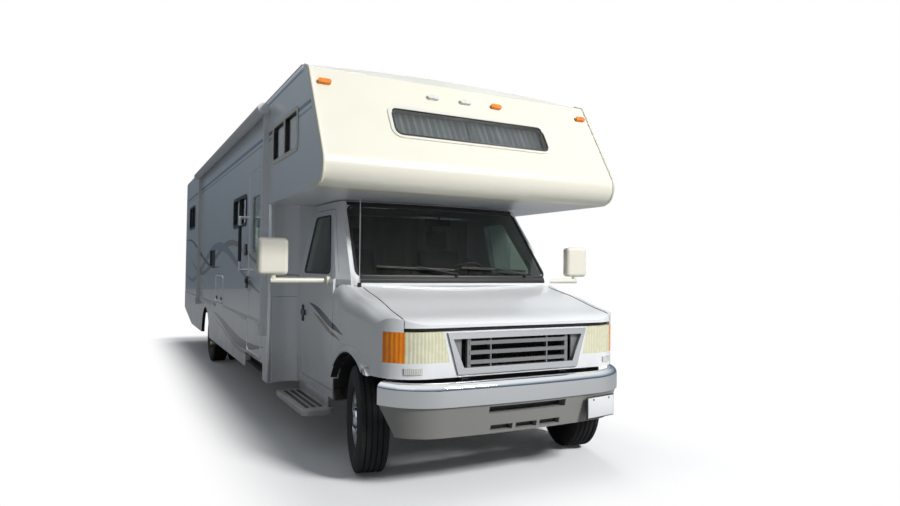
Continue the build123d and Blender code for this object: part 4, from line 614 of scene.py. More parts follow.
# %% [markdown]
# ## Making pieces
# Each new piece is drawn in a bmesh with its place in the mesh, then linked, given a finish and set to
# ride on the body that carries it. A slab with rounded edges is the most common form, so it has a helper.
# %% Finishing a piece
SIDES = (("driver", 1), ("kerb", -1))


def finish_piece(name, form, body, slot, material=None, sharp=35):
    """Turn a bmesh into an object with smooth shading, a finish and a body to ride on."""
    bmesh.ops.remove_doubles(form, verts=form.verts, dist=1e-6)
    bmesh.ops.recalc_face_normals(form, faces=form.faces)
    mesh = bpy.data.meshes.new(name)
    form.to_mesh(mesh)
    form.free()
    mesh.shade_smooth()
    mesh.set_sharp_from_angle(angle=math.radians(sharp))
    piece = bpy.data.objects.new(name, mesh)
    bpy.context.collection.objects.link(piece)
    mesh.materials.append(material or finishes[slot])
    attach(piece, body)
    print("made", name, "on", body, "with", len(mesh.polygons), "faces")
    return piece


def corners_of(name):
    """Lower and upper corner of a node's box."""
    return tuple(Vector(corner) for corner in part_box(name))


def verts_in(geom):
    """The vertices among what an operator made."""
    return [item for item in geom if isinstance(item, bmesh.types.BMVert)]


# %% Slabs, rods and turned forms
def add_slab(form, low, high, edge=0.003, turn=None):
    """A box between two corners with rounded edges; turn is an optional matrix."""
    centre = (Vector(low) + Vector(high)) / 2
    size = Vector(high) - Vector(low)
    made = bmesh.ops.create_cube(form, size=1.0)["verts"]
    bmesh.ops.scale(form, vec=size, verts=made)
    edges = list({line for vert in made for line in vert.link_edges})
    rounded = bmesh.ops.bevel(form, geom=edges, offset=min(edge, min(size) * 0.45), segments=2, profile=0.5,
                              affect="EDGES", material=-1)
    verts = list({vert for face in rounded["faces"] for vert in face.verts} | {v for v in made if v.is_valid})
    bmesh.ops.translate(form, vec=centre, verts=verts)
    if turn is not None:
        bmesh.ops.transform(form, matrix=turn, verts=verts)
    return verts


def add_side_slab(form, sign, xs, ys, zs, edge=0.003):
    """A slab on one side of the vehicle; xs are distances from the middle plane."""
    near, far = sorted((sign * xs[0], sign * xs[1]))
    return add_slab(form, (near, ys[0], zs[0]), (far, ys[1], zs[1]), edge)


def add_rod(form, start, end, radius, sides=12):
    """A round bar between two points, with closed ends."""
    start, end = Vector(start), Vector(end)
    axis = end - start
    place_it = Matrix.Translation((start + end) / 2) @ axis.to_track_quat("Z", "Y").to_matrix().to_4x4()
    return bmesh.ops.create_cone(form, cap_ends=True, segments=sides, radius1=radius, radius2=radius,
                                 depth=axis.length, matrix=place_it)["verts"]


def add_turned(form, profile, steps):
    """Spin (distance along X, radius) points about the X axis; returns all the vertices."""
    verts = [form.verts.new((x, 0, radius)) for x, radius in profile]
    edges = [form.edges.new(pair) for pair in zip(verts, verts[1:])]
    bmesh.ops.spin(form, geom=verts + edges, axis=(1, 0, 0), cent=(0, 0, 0), angle=2 * math.pi, steps=steps,
                   use_merge=True)
    reached = set(verts)
    edge_of_search = list(verts)
    while edge_of_search:
        found = {line.other_vert(vert) for vert in edge_of_search for line in vert.link_edges} - reached
        reached |= found
        edge_of_search = list(found)
    return list(reached)


# %% [markdown]
# ## Tyres
# A light-truck tyre has five ribs with straight grooves, and cross cuts that turn the outer ribs into
# blocks. Spinning a stepped outline gives ribs and sidewalls in one closed ring. The blocks are then
# inset, which opens a narrow cut round each. The front pair is steered, so each tyre is spun upright
# and turned to its own axle.
# %% Tyre outline
RIB_COUNT = 5
GROOVE = 0.009
GROOVE_DEPTH = 0.009
BEAD_RADIUS = 0.206


def tyre_outline(width, radius):
    """Half-closed outline from bead to bead over the ribbed tread."""
    half = width / 2
    tread = half * 0.80
    wall = [(half * 0.72, BEAD_RADIUS), (half * 0.80, BEAD_RADIUS + 0.006),
            (half * 0.84, BEAD_RADIUS + 0.018), (half * 0.95, BEAD_RADIUS + 0.050),
            (half, (BEAD_RADIUS + radius) / 2 + 0.004),
            (half * 0.985, radius - 0.062), (half * 0.93, radius - 0.034), (half * 0.885, radius - 0.018),
            (half * 0.84, radius - 0.007)]
    crown = []
    rib = (2 * tread - (RIB_COUNT - 1) * GROOVE) / RIB_COUNT
    for index in range(RIB_COUNT):
        left = tread - index * (rib + GROOVE)
        right = left - rib
        for x in (left, right):
            crown.append((x, radius - 0.004 * (x / tread) ** 2))
        if index < RIB_COUNT - 1:
            crown.append((right - GROOVE * 0.2, radius - GROOVE_DEPTH))
            crown.append((right - GROOVE * 0.8, radius - GROOVE_DEPTH))
    mirrored = [(-x, r) for x, r in reversed(wall)]
    return wall + crown + mirrored


# %% One tyre
TYRE_STEPS = 108
BLOCK_RISE = 0.0035


def heading_of(axle):
    """Matrix that turns the X axis to an axle."""
    return Vector((1, 0, 0)).rotation_difference(axle).to_matrix().to_4x4()


def add_tyre(form, centre, axle, width, radius):
    """One tyre on an axle; vertices that were placed before are tagged and stay."""
    outline = tyre_outline(width, radius)
    verts = add_turned(form, outline + [outline[0]], TYRE_STEPS)
    bmesh.ops.remove_doubles(form, verts=verts, dist=1e-6)
    faces = {face for vert in verts if vert.is_valid for face in vert.link_faces}
    blocks = [face for face in faces if face.calc_center_median().yz.length > radius - 0.012
              and width * 0.25 < abs(face.calc_center_median().x) < width * 0.405]
    bmesh.ops.inset_individual(form, faces=blocks, thickness=0.0022, depth=0.0)
    for face in blocks:
        outward = face.calc_center_median()
        outward.x = 0
        for vert in face.verts:
            vert.co += outward.normalized() * BLOCK_RISE
    bmesh.ops.transform(form, matrix=Matrix.Translation(centre) @ heading_of(axle),
                        verts=[vert for vert in form.verts if not vert.tag])
    for vert in form.verts:
        vert.tag = True


# %% Front and rear tyres
TYRE_WIDTH = 0.222
DUAL_INSET = 0.1115
axle_of = {joint["child"]: Vector(joint["axis"]) for joint in frame["joints"]
           if joint["name"].endswith("_spin")}
for side, _ in SIDES:
    body = "front_wheel_" + side
    low, high = corners_of("tyre_front_" + side)
    radius = (high.z - low.z) / 2 - BLOCK_RISE
    form = bmesh.new()
    add_tyre(form, (low + high) / 2, axle_of[body], TYRE_WIDTH, radius)
    tyre_piece = finish_piece("tread_front_" + side, form, body, "tyre_rubber", sharp=28)
    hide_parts("tyre_front_" + side)
    body = "rear_wheels_" + side
    low, high = corners_of("tyres_rear_" + side)
    form = bmesh.new()
    for x in (low.x + DUAL_INSET, high.x - DUAL_INSET):
        centre = Vector((x, (low.y + high.y) / 2, (low.z + high.z) / 2))
        add_tyre(form, centre, axle_of[body], TYRE_WIDTH, radius)
    tyre_piece = finish_piece("treads_rear_" + side, form, body, "tyre_rubber", sharp=28)
    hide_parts("tyres_rear_" + side)

# %% [markdown]
# ## Wheel nuts
# Each wheel is held by eight nuts on a ring round its hub. They are six-sided cones with a soft top edge,
# set on the disc and turned to the axle. A short valve stands on the rim.
# %% Nuts and valves
NUTS = 8
# Columns: body prefix, tyre node prefix, distance of the disc from the wheel's middle, ring radius
for prefix, tyre_node, disc, ring in (("front_wheel_", "tyre_front_", 0.055, 0.095),
                                      ("rear_wheels_", "tyres_rear_", 0.026, 0.100)):
    for side, outward in SIDES:
        low, high = corners_of(tyre_node + side)
        stand = Matrix.Translation((low + high) / 2) @ heading_of(axle_of[prefix + side] * outward)
        form = bmesh.new()
        for index in range(NUTS):
            angle = math.tau * (index + 0.5) / NUTS
            spot = Vector((0, ring * math.cos(angle), ring * math.sin(angle)))
            for start, length, size, sides in ((-0.004, 0.008, 0.017, 18), (0.0, 0.026, 0.0125, 6)):
                seat = spot + Vector((disc + start, 0, 0))
                made = add_rod(form, seat, seat + Vector((length, 0, 0)), size, sides)
                tops = [v for v in made if v.co.x > seat.x + length / 2]
                bmesh.ops.scale(form, vec=(1, 0.82, 0.82), verts=tops, space=Matrix.Translation(-spot))
        add_rod(form, (disc - 0.03, 0.155, 0.03), (disc + 0.02, 0.145, 0.03), 0.0045)
        bmesh.ops.transform(form, matrix=stand, verts=form.verts)
        finish_piece(prefix + side + "_nuts", form, prefix + side, "wheel_chrome", sharp=40)

# %% [markdown]
# ## Finding the skin
# Trim lies on curved panels. A ray shot at a node's mesh gives the point and slope of its skin, so a
# wiper, seal or plate can be set on it without copying its shape.
# %% Ray helpers
skins = {}


def skin_point(names, origin, direction, lift=0.0):
    """Nearest hit of a ray on one of the named nodes, raised along the skin's normal."""
    best = None
    for name in names:
        if name not in skins:
            mesh = nodes[name].data
            skins[name] = BVHTree.FromPolygons([v.co for v in mesh.vertices],
                                               [p.vertices for p in mesh.polygons])
        hit, normal, _, distance = skins[name].ray_cast(Vector(origin), Vector(direction))
        if hit is not None and (best is None or distance < best[2]):
            best = (hit, normal if normal.dot(Vector(direction)) < 0 else -normal, distance)
    if best is None:
        return None
    return best[0] + best[1] * lift


def front_point(names, x, z, lift=0.0):
    """The skin seen from the front at a width and height."""
    return skin_point(names, (x, -9, z), (0, 1, 0), lift)


def side_point(names, sign, y, z, lift=0.0):
    """The skin seen from one side at a station and height."""
    return skin_point(names, (sign * 3, y, z), (-sign, 0, 0), lift)


# %% Tubes and loops
def add_tube(form, points, radius, closed=False, sides=2):
    """A round strip along points; places where a ray met nothing are left out."""
    points = [point for point in points if point]
    curve = bpy.data.curves.new("strip_path", "CURVE")
    curve.dimensions = "3D"
    curve.bevel_depth = radius
    curve.bevel_resolution = sides
    curve.use_fill_caps = not closed
    spline = curve.splines.new("POLY")
    spline.points.add(len(points) - 1)
    for point, spot in zip(spline.points, points):
        point.co = (*spot, 1)
    spline.use_cyclic_u = closed
    carrier = bpy.data.objects.new("strip_path", curve)
    mesh = bpy.data.meshes.new_from_object(carrier)
    form.from_mesh(mesh)
    bpy.data.objects.remove(carrier)
    bpy.data.curves.remove(curve)
    bpy.data.meshes.remove(mesh)


def rounded_loop(corners, radius, steps=5, run=6):
    """Points round a polygon in two measures, with arcs at the corners."""
    loop = []
    count = len(corners)
    for index, corner in enumerate(corners):
        here = Vector(corner)
        back = (Vector(corners[index - 1]) - here).normalized()
        ahead = (Vector(corners[(index + 1) % count]) - here).normalized()
        trim = radius / math.tan(back.angle(ahead) / 2)
        start, end = here + back * trim, here + ahead * trim
        for step in range(steps + 1):
            share = step / steps
            loop.append(start.lerp(here, share).lerp(here.lerp(end, share), share))
        onward = Vector(corners[(index + 1) % count]) - end
        loop.extend(end + onward * (step / run) * 0.86 for step in range(1, run))
    return loop


# %% [markdown]
# ## Screen and door seals
# Black rubber frames the screen, the door windows and the window in the cap. The outlines are drawn in the
# flat view in which they were cut, and each point is pushed onto the skin.
# %% Window seals
SCREEN_CORNERS = ((-0.866, 1.372), (0.866, 1.372), (0.799, 1.938), (-0.799, 1.938))
FRONT_AXLE_Y = -4.135
DOOR_WINDOW = ((0.613, 1.386), (1.331, 1.386), (1.331, 1.868), (0.958, 1.868))
CAP_GLASS = ((-0.681, 2.417), (0.681, 2.417), (0.681, 2.633), (-0.681, 2.633))
form = bmesh.new()
add_tube(form, [front_point(("windscreen", "cab_shell"), x, z, 0.001)
                for x, z in rounded_loop(SCREEN_CORNERS, 0.05)], 0.011, closed=True)
finish_piece("screen_seal", form, "vehicle", "black_plastic")
for side, sign in SIDES:
    form = bmesh.new()
    add_tube(form, [side_point(("cab_door_" + side,), sign, FRONT_AXLE_Y + station, z, 0.001)
                    for station, z in rounded_loop(DOOR_WINDOW, 0.036)], 0.008, closed=True)
    finish_piece("door_seal_" + side, form, "cab_door_" + side, "black_plastic")
form = bmesh.new()
add_tube(form, [front_point(("coach_window_frames", "coach_glass"), x, z)
                for x, z in rounded_loop(CAP_GLASS, 0.056)], 0.008, closed=True)
finish_piece("cap_window_seal", form, "vehicle", "black_plastic")

# %% [markdown]
# ## Wipers and aerial
# Two wipers park across the foot of the screen. Each is a pivot, a bent arm and a thin blade with its
# spine. A whip aerial stands on the fender.
# %% Wipers
GLASS = ("windscreen",)
BLADE_FOOT, BLADE_TIP = 1.435, 1.415
form = bmesh.new()
# Columns: pivot x, blade from x, blade to x
for pivot_x, x0, x1 in ((-0.05, -0.70, -0.06), (0.63, 0.02, 0.66)):
    ends = [front_point(GLASS, x, z, 0.016) for x, z in ((x0, BLADE_FOOT), (x1, BLADE_TIP))]
    blade = [front_point(GLASS, x0 + (x1 - x0) * k / 8, BLADE_FOOT + (BLADE_TIP - BLADE_FOOT) * k / 8, 0.010)
             for k in range(9)]
    add_tube(form, blade, 0.007)
    add_tube(form, [point + Vector((0, -0.008, 0.008)) for point in blade], 0.004)
    pivot = front_point(("windscreen", "cab_shell"), pivot_x, 1.372, 0.004)
    knee = front_point(GLASS, pivot_x - 0.13, 1.402, 0.022)
    middle = (ends[0] + ends[1]) / 2 + Vector((0, -0.012, 0.012))
    add_tube(form, [pivot, pivot + Vector((0, -0.02, 0.018)), knee, middle], 0.007)
    add_rod(form, pivot + Vector((0, 0.01, -0.012)), pivot + Vector((0, -0.022, 0.022)), 0.014)
finish_piece("wipers", form, "vehicle", "black_plastic")

# %% Aerial
aerial_foot = skin_point(("front_clip",), (-0.868, -3.890, 3), (0, 0, -1))
form = bmesh.new()
add_rod(form, aerial_foot - Vector((0, 0, 0.004)), aerial_foot + Vector((0, 0, 0.03)), 0.016)
finish_piece("aerial_foot", form, "vehicle", "black_plastic")
form = bmesh.new()
add_tube(form, [aerial_foot + Vector((0, 0, 0.02)), aerial_foot + Vector((0.004, 0.02, 0.655))], 0.0032)
finish_piece("aerial", form, "vehicle", "aluminium_trim")

# %% [markdown]
# ## Patches on the skin
# A lens, a plate or a strip of tread is a thin sheet that follows the panel under it. A grid is drawn
# flat, each of its corners is pushed onto the skin by a ray, and the sheet is given its thickness.
# %% Patch helper
view_from = {"front": (0, -9, 0), "back": (0, 9, 0), "top": (0, 0, 9)}


def add_patch(form, names, across, upward, thickness, view, lift=0.001, cells=6):
    """A sheet on named nodes; view is "front", "back" or "top"."""
    grid = bmesh.ops.create_grid(form, x_segments=cells, y_segments=cells, size=0.5)["verts"]
    away = Vector(view_from[view])
    direction = -away.normalized()
    for vert in grid:
        first = across[0] + (across[1] - across[0]) * (vert.co.x + 0.5)
        second = upward[0] + (upward[1] - upward[0]) * (vert.co.y + 0.5)
        flat = (first, second, 0) if view == "top" else (first, 0, second)
        vert.co = skin_point(names, Vector(flat) + away, direction, lift)
    faces = list({face for vert in grid for face in vert.link_faces})
    bmesh.ops.recalc_face_normals(form, faces=faces)
    if faces[0].normal.dot(direction) > 0:
        bmesh.ops.reverse_faces(form, faces=faces)
    raised = verts_in(bmesh.ops.extrude_face_region(form, geom=faces)["geom"])
    bmesh.ops.translate(form, vec=-direction * thickness, verts=raised)


# %% [markdown]
# ## Nose
# Behind the grille stands the radiator, a dark block of fins. A rubber strip closes the slot between
# hood and lamps, small clear lamps sit below the headlamps, and a blank plate hangs on the bumper.
# %% Radiator and strip
low, high = corners_of("grille")
RADIATOR_GAP = 0.035
RADIATOR_FINS = 64
form = bmesh.new()
back = high.y + RADIATOR_GAP
add_slab(form, (low.x * 0.93, back + 0.012, low.z - 0.02),
         (high.x * 0.93, back + 0.05, high.z + 0.005), 0.004)
for index in range(RADIATOR_FINS):
    x = low.x * 0.92 + (high.x - low.x) * 0.92 * index / (RADIATOR_FINS - 1)
    add_slab(form, (x - 0.0015, back, low.z - 0.01), (x + 0.0015, back + 0.014, high.z), 0.0004)
finish_piece("radiator", form, "vehicle", "black_plastic")

NOSE_CORNER = Vector((0.670, -4.425, 1.041))
STRIP_RADIUS = 0.272


def round_nose(radius, step, steps):
    """Points across the nose and round both its corners; step is an angle in degrees."""
    angles = [math.radians(step * k) for k in range(steps + 1)]
    bend = [NOSE_CORNER + radius * Vector((math.sin(a), -math.cos(a), 0)) for a in angles]
    return [Vector((-point.x, point.y, point.z)) for point in reversed(bend)] + bend


form = bmesh.new()
add_tube(form, round_nose(STRIP_RADIUS, 5, 10), 0.0085)
finish_piece("hood_slot_strip", form, "vehicle", "black_plastic")

# %% Small lamps
form = bmesh.new()
for sign in (-1, 1):
    add_patch(form, ("front_clip",), sorted((sign * 0.735, sign * 0.845)), (0.762, 0.802), 0.008, "front")
finish_piece("lower_markers", form, "vehicle", "lamp_lens", clear_lens)

# %% Blank plate
PLATE_X = (0.490, 0.762)
PLATE_Z = (0.395, 0.535)
PLATE_GAP = 0.012
ends = [front_point(("front_bumper", "bumper_valance"), x, 0.60) for x in PLATE_X]
run = (ends[1] - ends[0]).normalized()
out = Vector((run.y, -run.x, 0))
corner = ends[0] + out * PLATE_GAP
length = (ends[1] - ends[0]).length
plate_turn = Matrix((
    (run.x, -out.x, 0, corner.x),
    (run.y, -out.y, 0, corner.y),
    (0, 0, 1, PLATE_Z[0]),
    (0, 0, 0, 1),
))
tall = PLATE_Z[1] - PLATE_Z[0]
form = bmesh.new()
add_slab(form, (0, -0.002, 0), (length, 0.001, tall), 0.0012, plate_turn)
plate_white = dull_finish("blank_plate", rgba(0.74, 0.75, 0.76), 0.35, 200.0, 0.02, 0.5, 0.15)
finish_piece("blank_plate", form, "vehicle", "cab_white", plate_white)
form = bmesh.new()
add_slab(form, (-0.008, 0.0015, -0.008), (length + 0.008, 0.011, tall + 0.008), 0.003, plate_turn)
for x in (length * 0.2, length * 0.8):
    verts = add_rod(form, (x, -0.006, tall - 0.014), (x, 0.03, tall - 0.014), 0.006)
    bmesh.ops.transform(form, matrix=plate_turn, verts=verts)
finish_piece("plate_holder", form, "vehicle", "black_plastic")

# %% [markdown]
# ## Wheel housings and cowl
# The arches are lined with a black moulded sheet, an arc spun about the axle's line and given a
# thickness, with a flat wall inside. The cowl is a ribbed sheet across the foot of the screen.
# %% Arch liners
LINER_RADIUS = 0.455
LINER_FRONT = math.radians(38)
LINER_REAR = math.radians(80)
LINER_INNER, LINER_OUTER = 0.560, 0.955
middle = Vector((0, FRONT_ARCH[0], HUB_HEIGHT))
for side, sign in SIDES:
    form = bmesh.new()
    top = [middle + Vector((sign * x, 0, LINER_RADIUS)) for x in (LINER_INNER, LINER_OUTER)]
    verts = [form.verts.new(point) for point in top]
    edge = form.edges.new(verts)
    bmesh.ops.rotate(form, cent=middle, matrix=Matrix.Rotation(LINER_FRONT, 3, "X"), verts=verts)
    bmesh.ops.spin(form, geom=verts + [edge], axis=(-1, 0, 0), cent=middle, angle=LINER_FRONT + LINER_REAR,
                   steps=26)
    bmesh.ops.recalc_face_normals(form, faces=form.faces)
    bmesh.ops.solidify(form, geom=form.faces, thickness=0.004)
    add_side_slab(form, sign, (LINER_INNER - 0.006, LINER_INNER),
                  (FRONT_ARCH[0] - 0.29, FRONT_ARCH[0] + 0.40), (0.560, 0.830), 0.002)
    finish_piece("arch_liner_" + side, form, "vehicle", "black_plastic")

# %% Splash apron and air dam
# Black sheets close the nose behind the bumper and behind the openings of the valance.
APRON_Z = (0.600, 0.742)
APRON_RADIUS = 0.225
DAM_Y = -4.770
form = bmesh.new()
foot = [form.verts.new((point.x, point.y, APRON_Z[0])) for point in round_nose(APRON_RADIUS, 9, 8)]
lines = [form.edges.new(pair) for pair in zip(foot, foot[1:])]
raised = verts_in(bmesh.ops.extrude_edge_only(form, edges=lines)["geom"])
bmesh.ops.translate(form, vec=(0, 0, APRON_Z[1] - APRON_Z[0]), verts=raised)
bmesh.ops.recalc_face_normals(form, faces=form.faces)
bmesh.ops.solidify(form, geom=form.faces, thickness=0.004)
add_slab(form, (-0.56, DAM_Y, 0.366), (0.56, DAM_Y + 0.006, 0.556), 0.002)
finish_piece("splash_apron", form, "vehicle", "black_plastic")

# %% Cowl
COWL_Z = (1.322, 1.371)
COWL_HALF = 0.845
COWL_RIBS = 56
form = bmesh.new()
add_patch(form, ("cab_shell", "front_clip"), (-COWL_HALF, COWL_HALF), COWL_Z, 0.003, "front", cells=24)
for index in range(COWL_RIBS):
    x = COWL_HALF * 0.96 * (2 * index / (COWL_RIBS - 1) - 1)
    add_tube(form, [front_point(("cab_shell", "front_clip"), x, z, 0.004) for z in COWL_Z], 0.003, sides=1)
finish_piece("cowl_panel", form, "vehicle", "black_plastic")

# %% Hood lines
# A dark line runs along each side of the hood.
SEAM_OFFSET = 0.0085
SEAM_START, SEAM_LENGTH = -4.700, 0.785
SEAM_STEPS = 20
HALVINGS = 14


def hood_edge(y):
    """Half width of the hood at a station, found by halving the step between a hit and a miss."""
    inner, outer = 0.5, 0.95
    for _ in range(HALVINGS):
        x = (inner + outer) / 2
        if skin_point(("hood",), (x, y, 3), (0, 0, -1)) is None:
            outer = x
        else:
            inner = x
    return inner


form = bmesh.new()
for sign in (-1, 1):
    line = []
    for step in range(SEAM_STEPS + 1):
        y = SEAM_START + SEAM_LENGTH * step / SEAM_STEPS
        line.append(skin_point(("front_clip",), (sign * (hood_edge(y) + SEAM_OFFSET), y, 3), (0, 0, -1)))
    add_tube(form, line, 0.003)
finish_piece("hood_lines", form, "vehicle", "black_plastic")

# %% [markdown]
# ## Coach edges
# The coach's corners and the edges of its roof are closed by aluminium extrusions with rows of screws,
# and a white rub rail runs along its sides at floor height. Each is a long slab. The rail's length on
# the entry door is a piece of its own, so that it swings with the door.
# %% Corner mouldings and gutters
SIDE = 1.27
WALL_FRONT = -2.635
WALL_REAR = 4.765
GUTTER_FRONT = -3.70
RAIL_Z = (0.874, 0.932)
SCREW_STEP = 0.18
form = bmesh.new()
screws = bmesh.new()
for sign in (-1, 1):
    for y, (z0, z1) in ((WALL_FRONT, (0.405, 1.985)), (WALL_REAR, (0.62, 2.90))):
        inward = 1 if y < 0 else -1
        leg = (y - 0.006 * inward, y + 0.030 * inward)
        add_side_slab(form, sign, (SIDE - 0.006, SIDE + 0.006), leg, (z0, z1), 0.0045)
        add_side_slab(form, sign, (SIDE - 0.032, SIDE), (y - 0.006, y + 0.006), (z0, z1), 0.0045)
        for index in range(int((z1 - z0) / SCREW_STEP)):
            spot = Vector((sign * (SIDE + 0.004), y + 0.015 * inward, z0 + 0.06 + index * SCREW_STEP))
            add_rod(screws, spot, spot + Vector((sign * 0.0045, 0, 0)), 0.0055, 10)
    add_slab(form, (sign * SIDE - 0.007, GUTTER_FRONT, 2.896), (sign * SIDE + 0.009, WALL_REAR, 2.940), 0.006)
finish_piece("coach_mouldings", form, "vehicle", "aluminium_trim")
finish_piece("moulding_screws", screws, "vehicle", "wheel_chrome")

# %% Rub rails
# Columns: name, body, node that it lies on, side of the coach, front end, rear end
for name, body, owner, sign, start, end in (
    ("rub_rail_kerb_front", "vehicle", "coach_wall_kerb", -1, -2.600, -2.385),
    ("rub_rail_door", "entry_door", "entry_door", -1, -2.335, -1.685),
    ("rub_rail_kerb", "vehicle", "coach_wall_kerb", -1, -1.625, 0.0),
    ("rub_rail_kerb_rear", "vehicle", "coach_wall_kerb", -1, 0.72, 4.73),
    ("rub_rail_driver", "vehicle", "coach_wall_driver", 1, -2.600, 4.73),
):
    form = bmesh.new()
    face = abs(side_point((owner,), sign, (start + end) / 2, sum(RAIL_Z) / 2).x)
    for inset, proud in ((0.0, 0.009), (0.017, 0.013)):
        heights = (RAIL_Z[0] + inset, RAIL_Z[1] - inset)
        add_side_slab(form, sign, (face - 0.002, face + proud), (start, end), heights, 0.004)
    finish_piece(name, form, body, "coach_white")

# %% Cap edge beads
CAP = ("cab_over_cap",)
BEAD_FOOT, BEAD_RISE, BEAD_STEPS = 2.02, 0.92, 24
form = bmesh.new()
for sign in (-1, 1):
    heights = [BEAD_FOOT + BEAD_RISE * k / BEAD_STEPS for k in range(BEAD_STEPS + 1)]
    add_tube(form, [front_point(CAP, sign * (SIDE - 0.010), z, 0.002) for z in heights], 0.010)
finish_piece("cap_edge_beads", form, "vehicle", "cap_ivory")

# %% [markdown]
# ## Steps, grips and mirrors
# Rubber strips lie on the running boards and a riser closes each board to the sill. The long handle by
# the door has a soft black sleeve, and each mirror head holds a large pane over a small wide-angle one.
# %% Tread strips and risers
TREADS = ((0.995, 1.025), (1.050, 1.080), (1.105, 1.135))
form = bmesh.new()
risers = bmesh.new()
for sign in (-1, 1):
    for near, far in TREADS:
        across = sorted((sign * near, sign * far))
        add_patch(form, ("running_boards",), across, (-3.44, -2.70), 0.004, "top", 0.0005)
    add_side_slab(risers, sign, (0.958, 0.972), (-3.480, -2.630), (0.322, 0.424), 0.004)
finish_piece("board_treads", form, "vehicle", "black_plastic")
finish_piece("board_risers", risers, "vehicle", "board_white")

# %% Handle sleeve
low, high = corners_of("assist_handle")
GRIP_RADIUS = 0.0185
GRIP_END = 0.10
GRIP_RINGS = 40
grip_line = Vector((low.x + 0.014, (low.y + high.y) / 2, 0))
form = bmesh.new()
grip_length = high.z - low.z - 2 * GRIP_END
points = [grip_line + Vector((0, 0, low.z + GRIP_END + grip_length * k / GRIP_RINGS))
          for k in range(GRIP_RINGS + 1)]
add_tube(form, points, GRIP_RADIUS - 0.002, sides=4)
for point in points[1:-1:2]:
    add_rod(form, point - Vector((0, 0, 0.003)), point + Vector((0, 0, 0.003)), GRIP_RADIUS, 20)
finish_piece("handle_sleeve", form, "vehicle", "black_plastic")

# %% Mirror panes
mirror_pane = metal_finish("mirror_silver", rgba(0.70, 0.73, 0.76), 0.03, 0.02)
for side, sign in SIDES:
    form = bmesh.new()
    across = sorted((sign * 1.348, sign * 1.518))
    for upward in ((1.492, 1.630), (1.420, 1.482)):
        add_patch(form, ("mirror_" + side,), across, upward, 0.0015, "back", 0.0005)
    finish_piece("mirror_panes_" + side, form, "cab_door_" + side, "wheel_chrome", mirror_pane)

# %% [markdown]
# ## Doors and hatches
# Door edges are closed by a bright bead, latches are black paddles in a plate, and the baggage lids have
# two round turn locks. Each of these rides on the door that it belongs to.
# %% Latch helpers
def add_paddle(form, owner, sign, y, z):
    """A latch plate with a raised paddle."""
    skin = abs(side_point((owner,), sign, y, z).x)
    add_side_slab(form, sign, (skin, skin + 0.010), (y - 0.045, y + 0.045), (z - 0.060, z + 0.060), 0.004)
    paddle = (skin + 0.008, skin + 0.022)
    add_side_slab(form, sign, paddle, (y - 0.030, y + 0.034), (z - 0.012, z + 0.036), 0.005)


def add_turn_lock(form, owner, sign, y, z):
    """A round lock with a bar across it."""
    base = side_point((owner,), sign, y, z)
    half_bar = Vector((0.011, 0.004, 0.015))
    add_rod(form, base, base + Vector((sign * 0.009, 0, 0)), 0.022, 24)
    add_slab(form, base - half_bar, base + half_bar, 0.003)


# %% Beads and latches
LATCH_Z = 1.268
# Columns: body, direction of the outer face, front and rear edge, lower and upper edge, corner radius
for body, sign, (y0, y1), (z0, z1), radius in (
    ("entry_door", -1, (-2.350, -1.669), (0.582, 2.366), 0.05),
    ("baggage_door_kerb", -1, (0.047, 0.673), (0.962, 1.293), 0.03),
    ("baggage_door_driver", 1, (-1.123, 0.053), (0.482, 0.773), 0.03),
):
    loop = rounded_loop(((y0, z0), (y1, z0), (y1, z1), (y0, z1)), radius)
    form = bmesh.new()
    add_tube(form, [side_point((body,), sign, y, z, 0.001) for y, z in loop], 0.0065, closed=True)
    finish_piece(body + "_bead", form, body, "aluminium_trim")
    form = bmesh.new()
    if body == "entry_door":
        add_paddle(form, body, sign, y1 - 0.055, LATCH_Z)
    else:
        for y in (y0 + 0.12, y1 - 0.12):
            add_turn_lock(form, body, sign, y, z0 + 0.045)
    finish_piece(body + "_latch", form, body, "black_plastic")

# %% Plates behind the door grips
for side, sign in SIDES:
    owner = "cab_door_" + side
    form = bmesh.new()
    skin = abs(side_point((owner,), sign, -2.838, 1.120).x)
    add_side_slab(form, sign, (skin - 0.002, skin + 0.007), (-2.874, -2.806), (0.960, 1.102), 0.005)
    finish_piece("door_handle_" + side, form, owner, "black_plastic")

# %% [markdown]
# ## Fender flares
# A raised lip runs round each front arch. It is a curved band on the fender: a grid is bent round the
# arch, its rows are lifted by different amounts to give a rounded section, and the band is closed below.
# %% Flares
# Columns: radius about the arch's middle, rise above the fender
FLARE_ROWS = ((0.4665, 0.003), (0.470, 0.012), (0.480, 0.016), (0.496, 0.015), (0.508, 0.011), (0.520, 0.001))
FLARE_START, FLARE_END = math.radians(52), math.radians(136)
for side, sign in SIDES:
    form = bmesh.new()
    last = len(FLARE_ROWS) - 1
    for vert in bmesh.ops.create_grid(form, x_segments=44, y_segments=last, size=0.5)["verts"]:
        angle = FLARE_START + (FLARE_END - FLARE_START) * (vert.co.x + 0.5)
        radius, rise = FLARE_ROWS[round((vert.co.y + 0.5) * last)]
        y = FRONT_ARCH[0] - radius * math.cos(angle)
        z = HUB_HEIGHT + radius * math.sin(angle)
        vert.co = side_point(("front_clip",), sign, y, z, rise)
    sunk = verts_in(bmesh.ops.extrude_face_region(form, geom=form.faces[:])["geom"])
    bmesh.ops.translate(form, vec=(-sign * 0.003, 0, 0), verts=sunk)
    finish_piece("fender_flare_" + side, form, "vehicle", "cab_white", sharp=50)

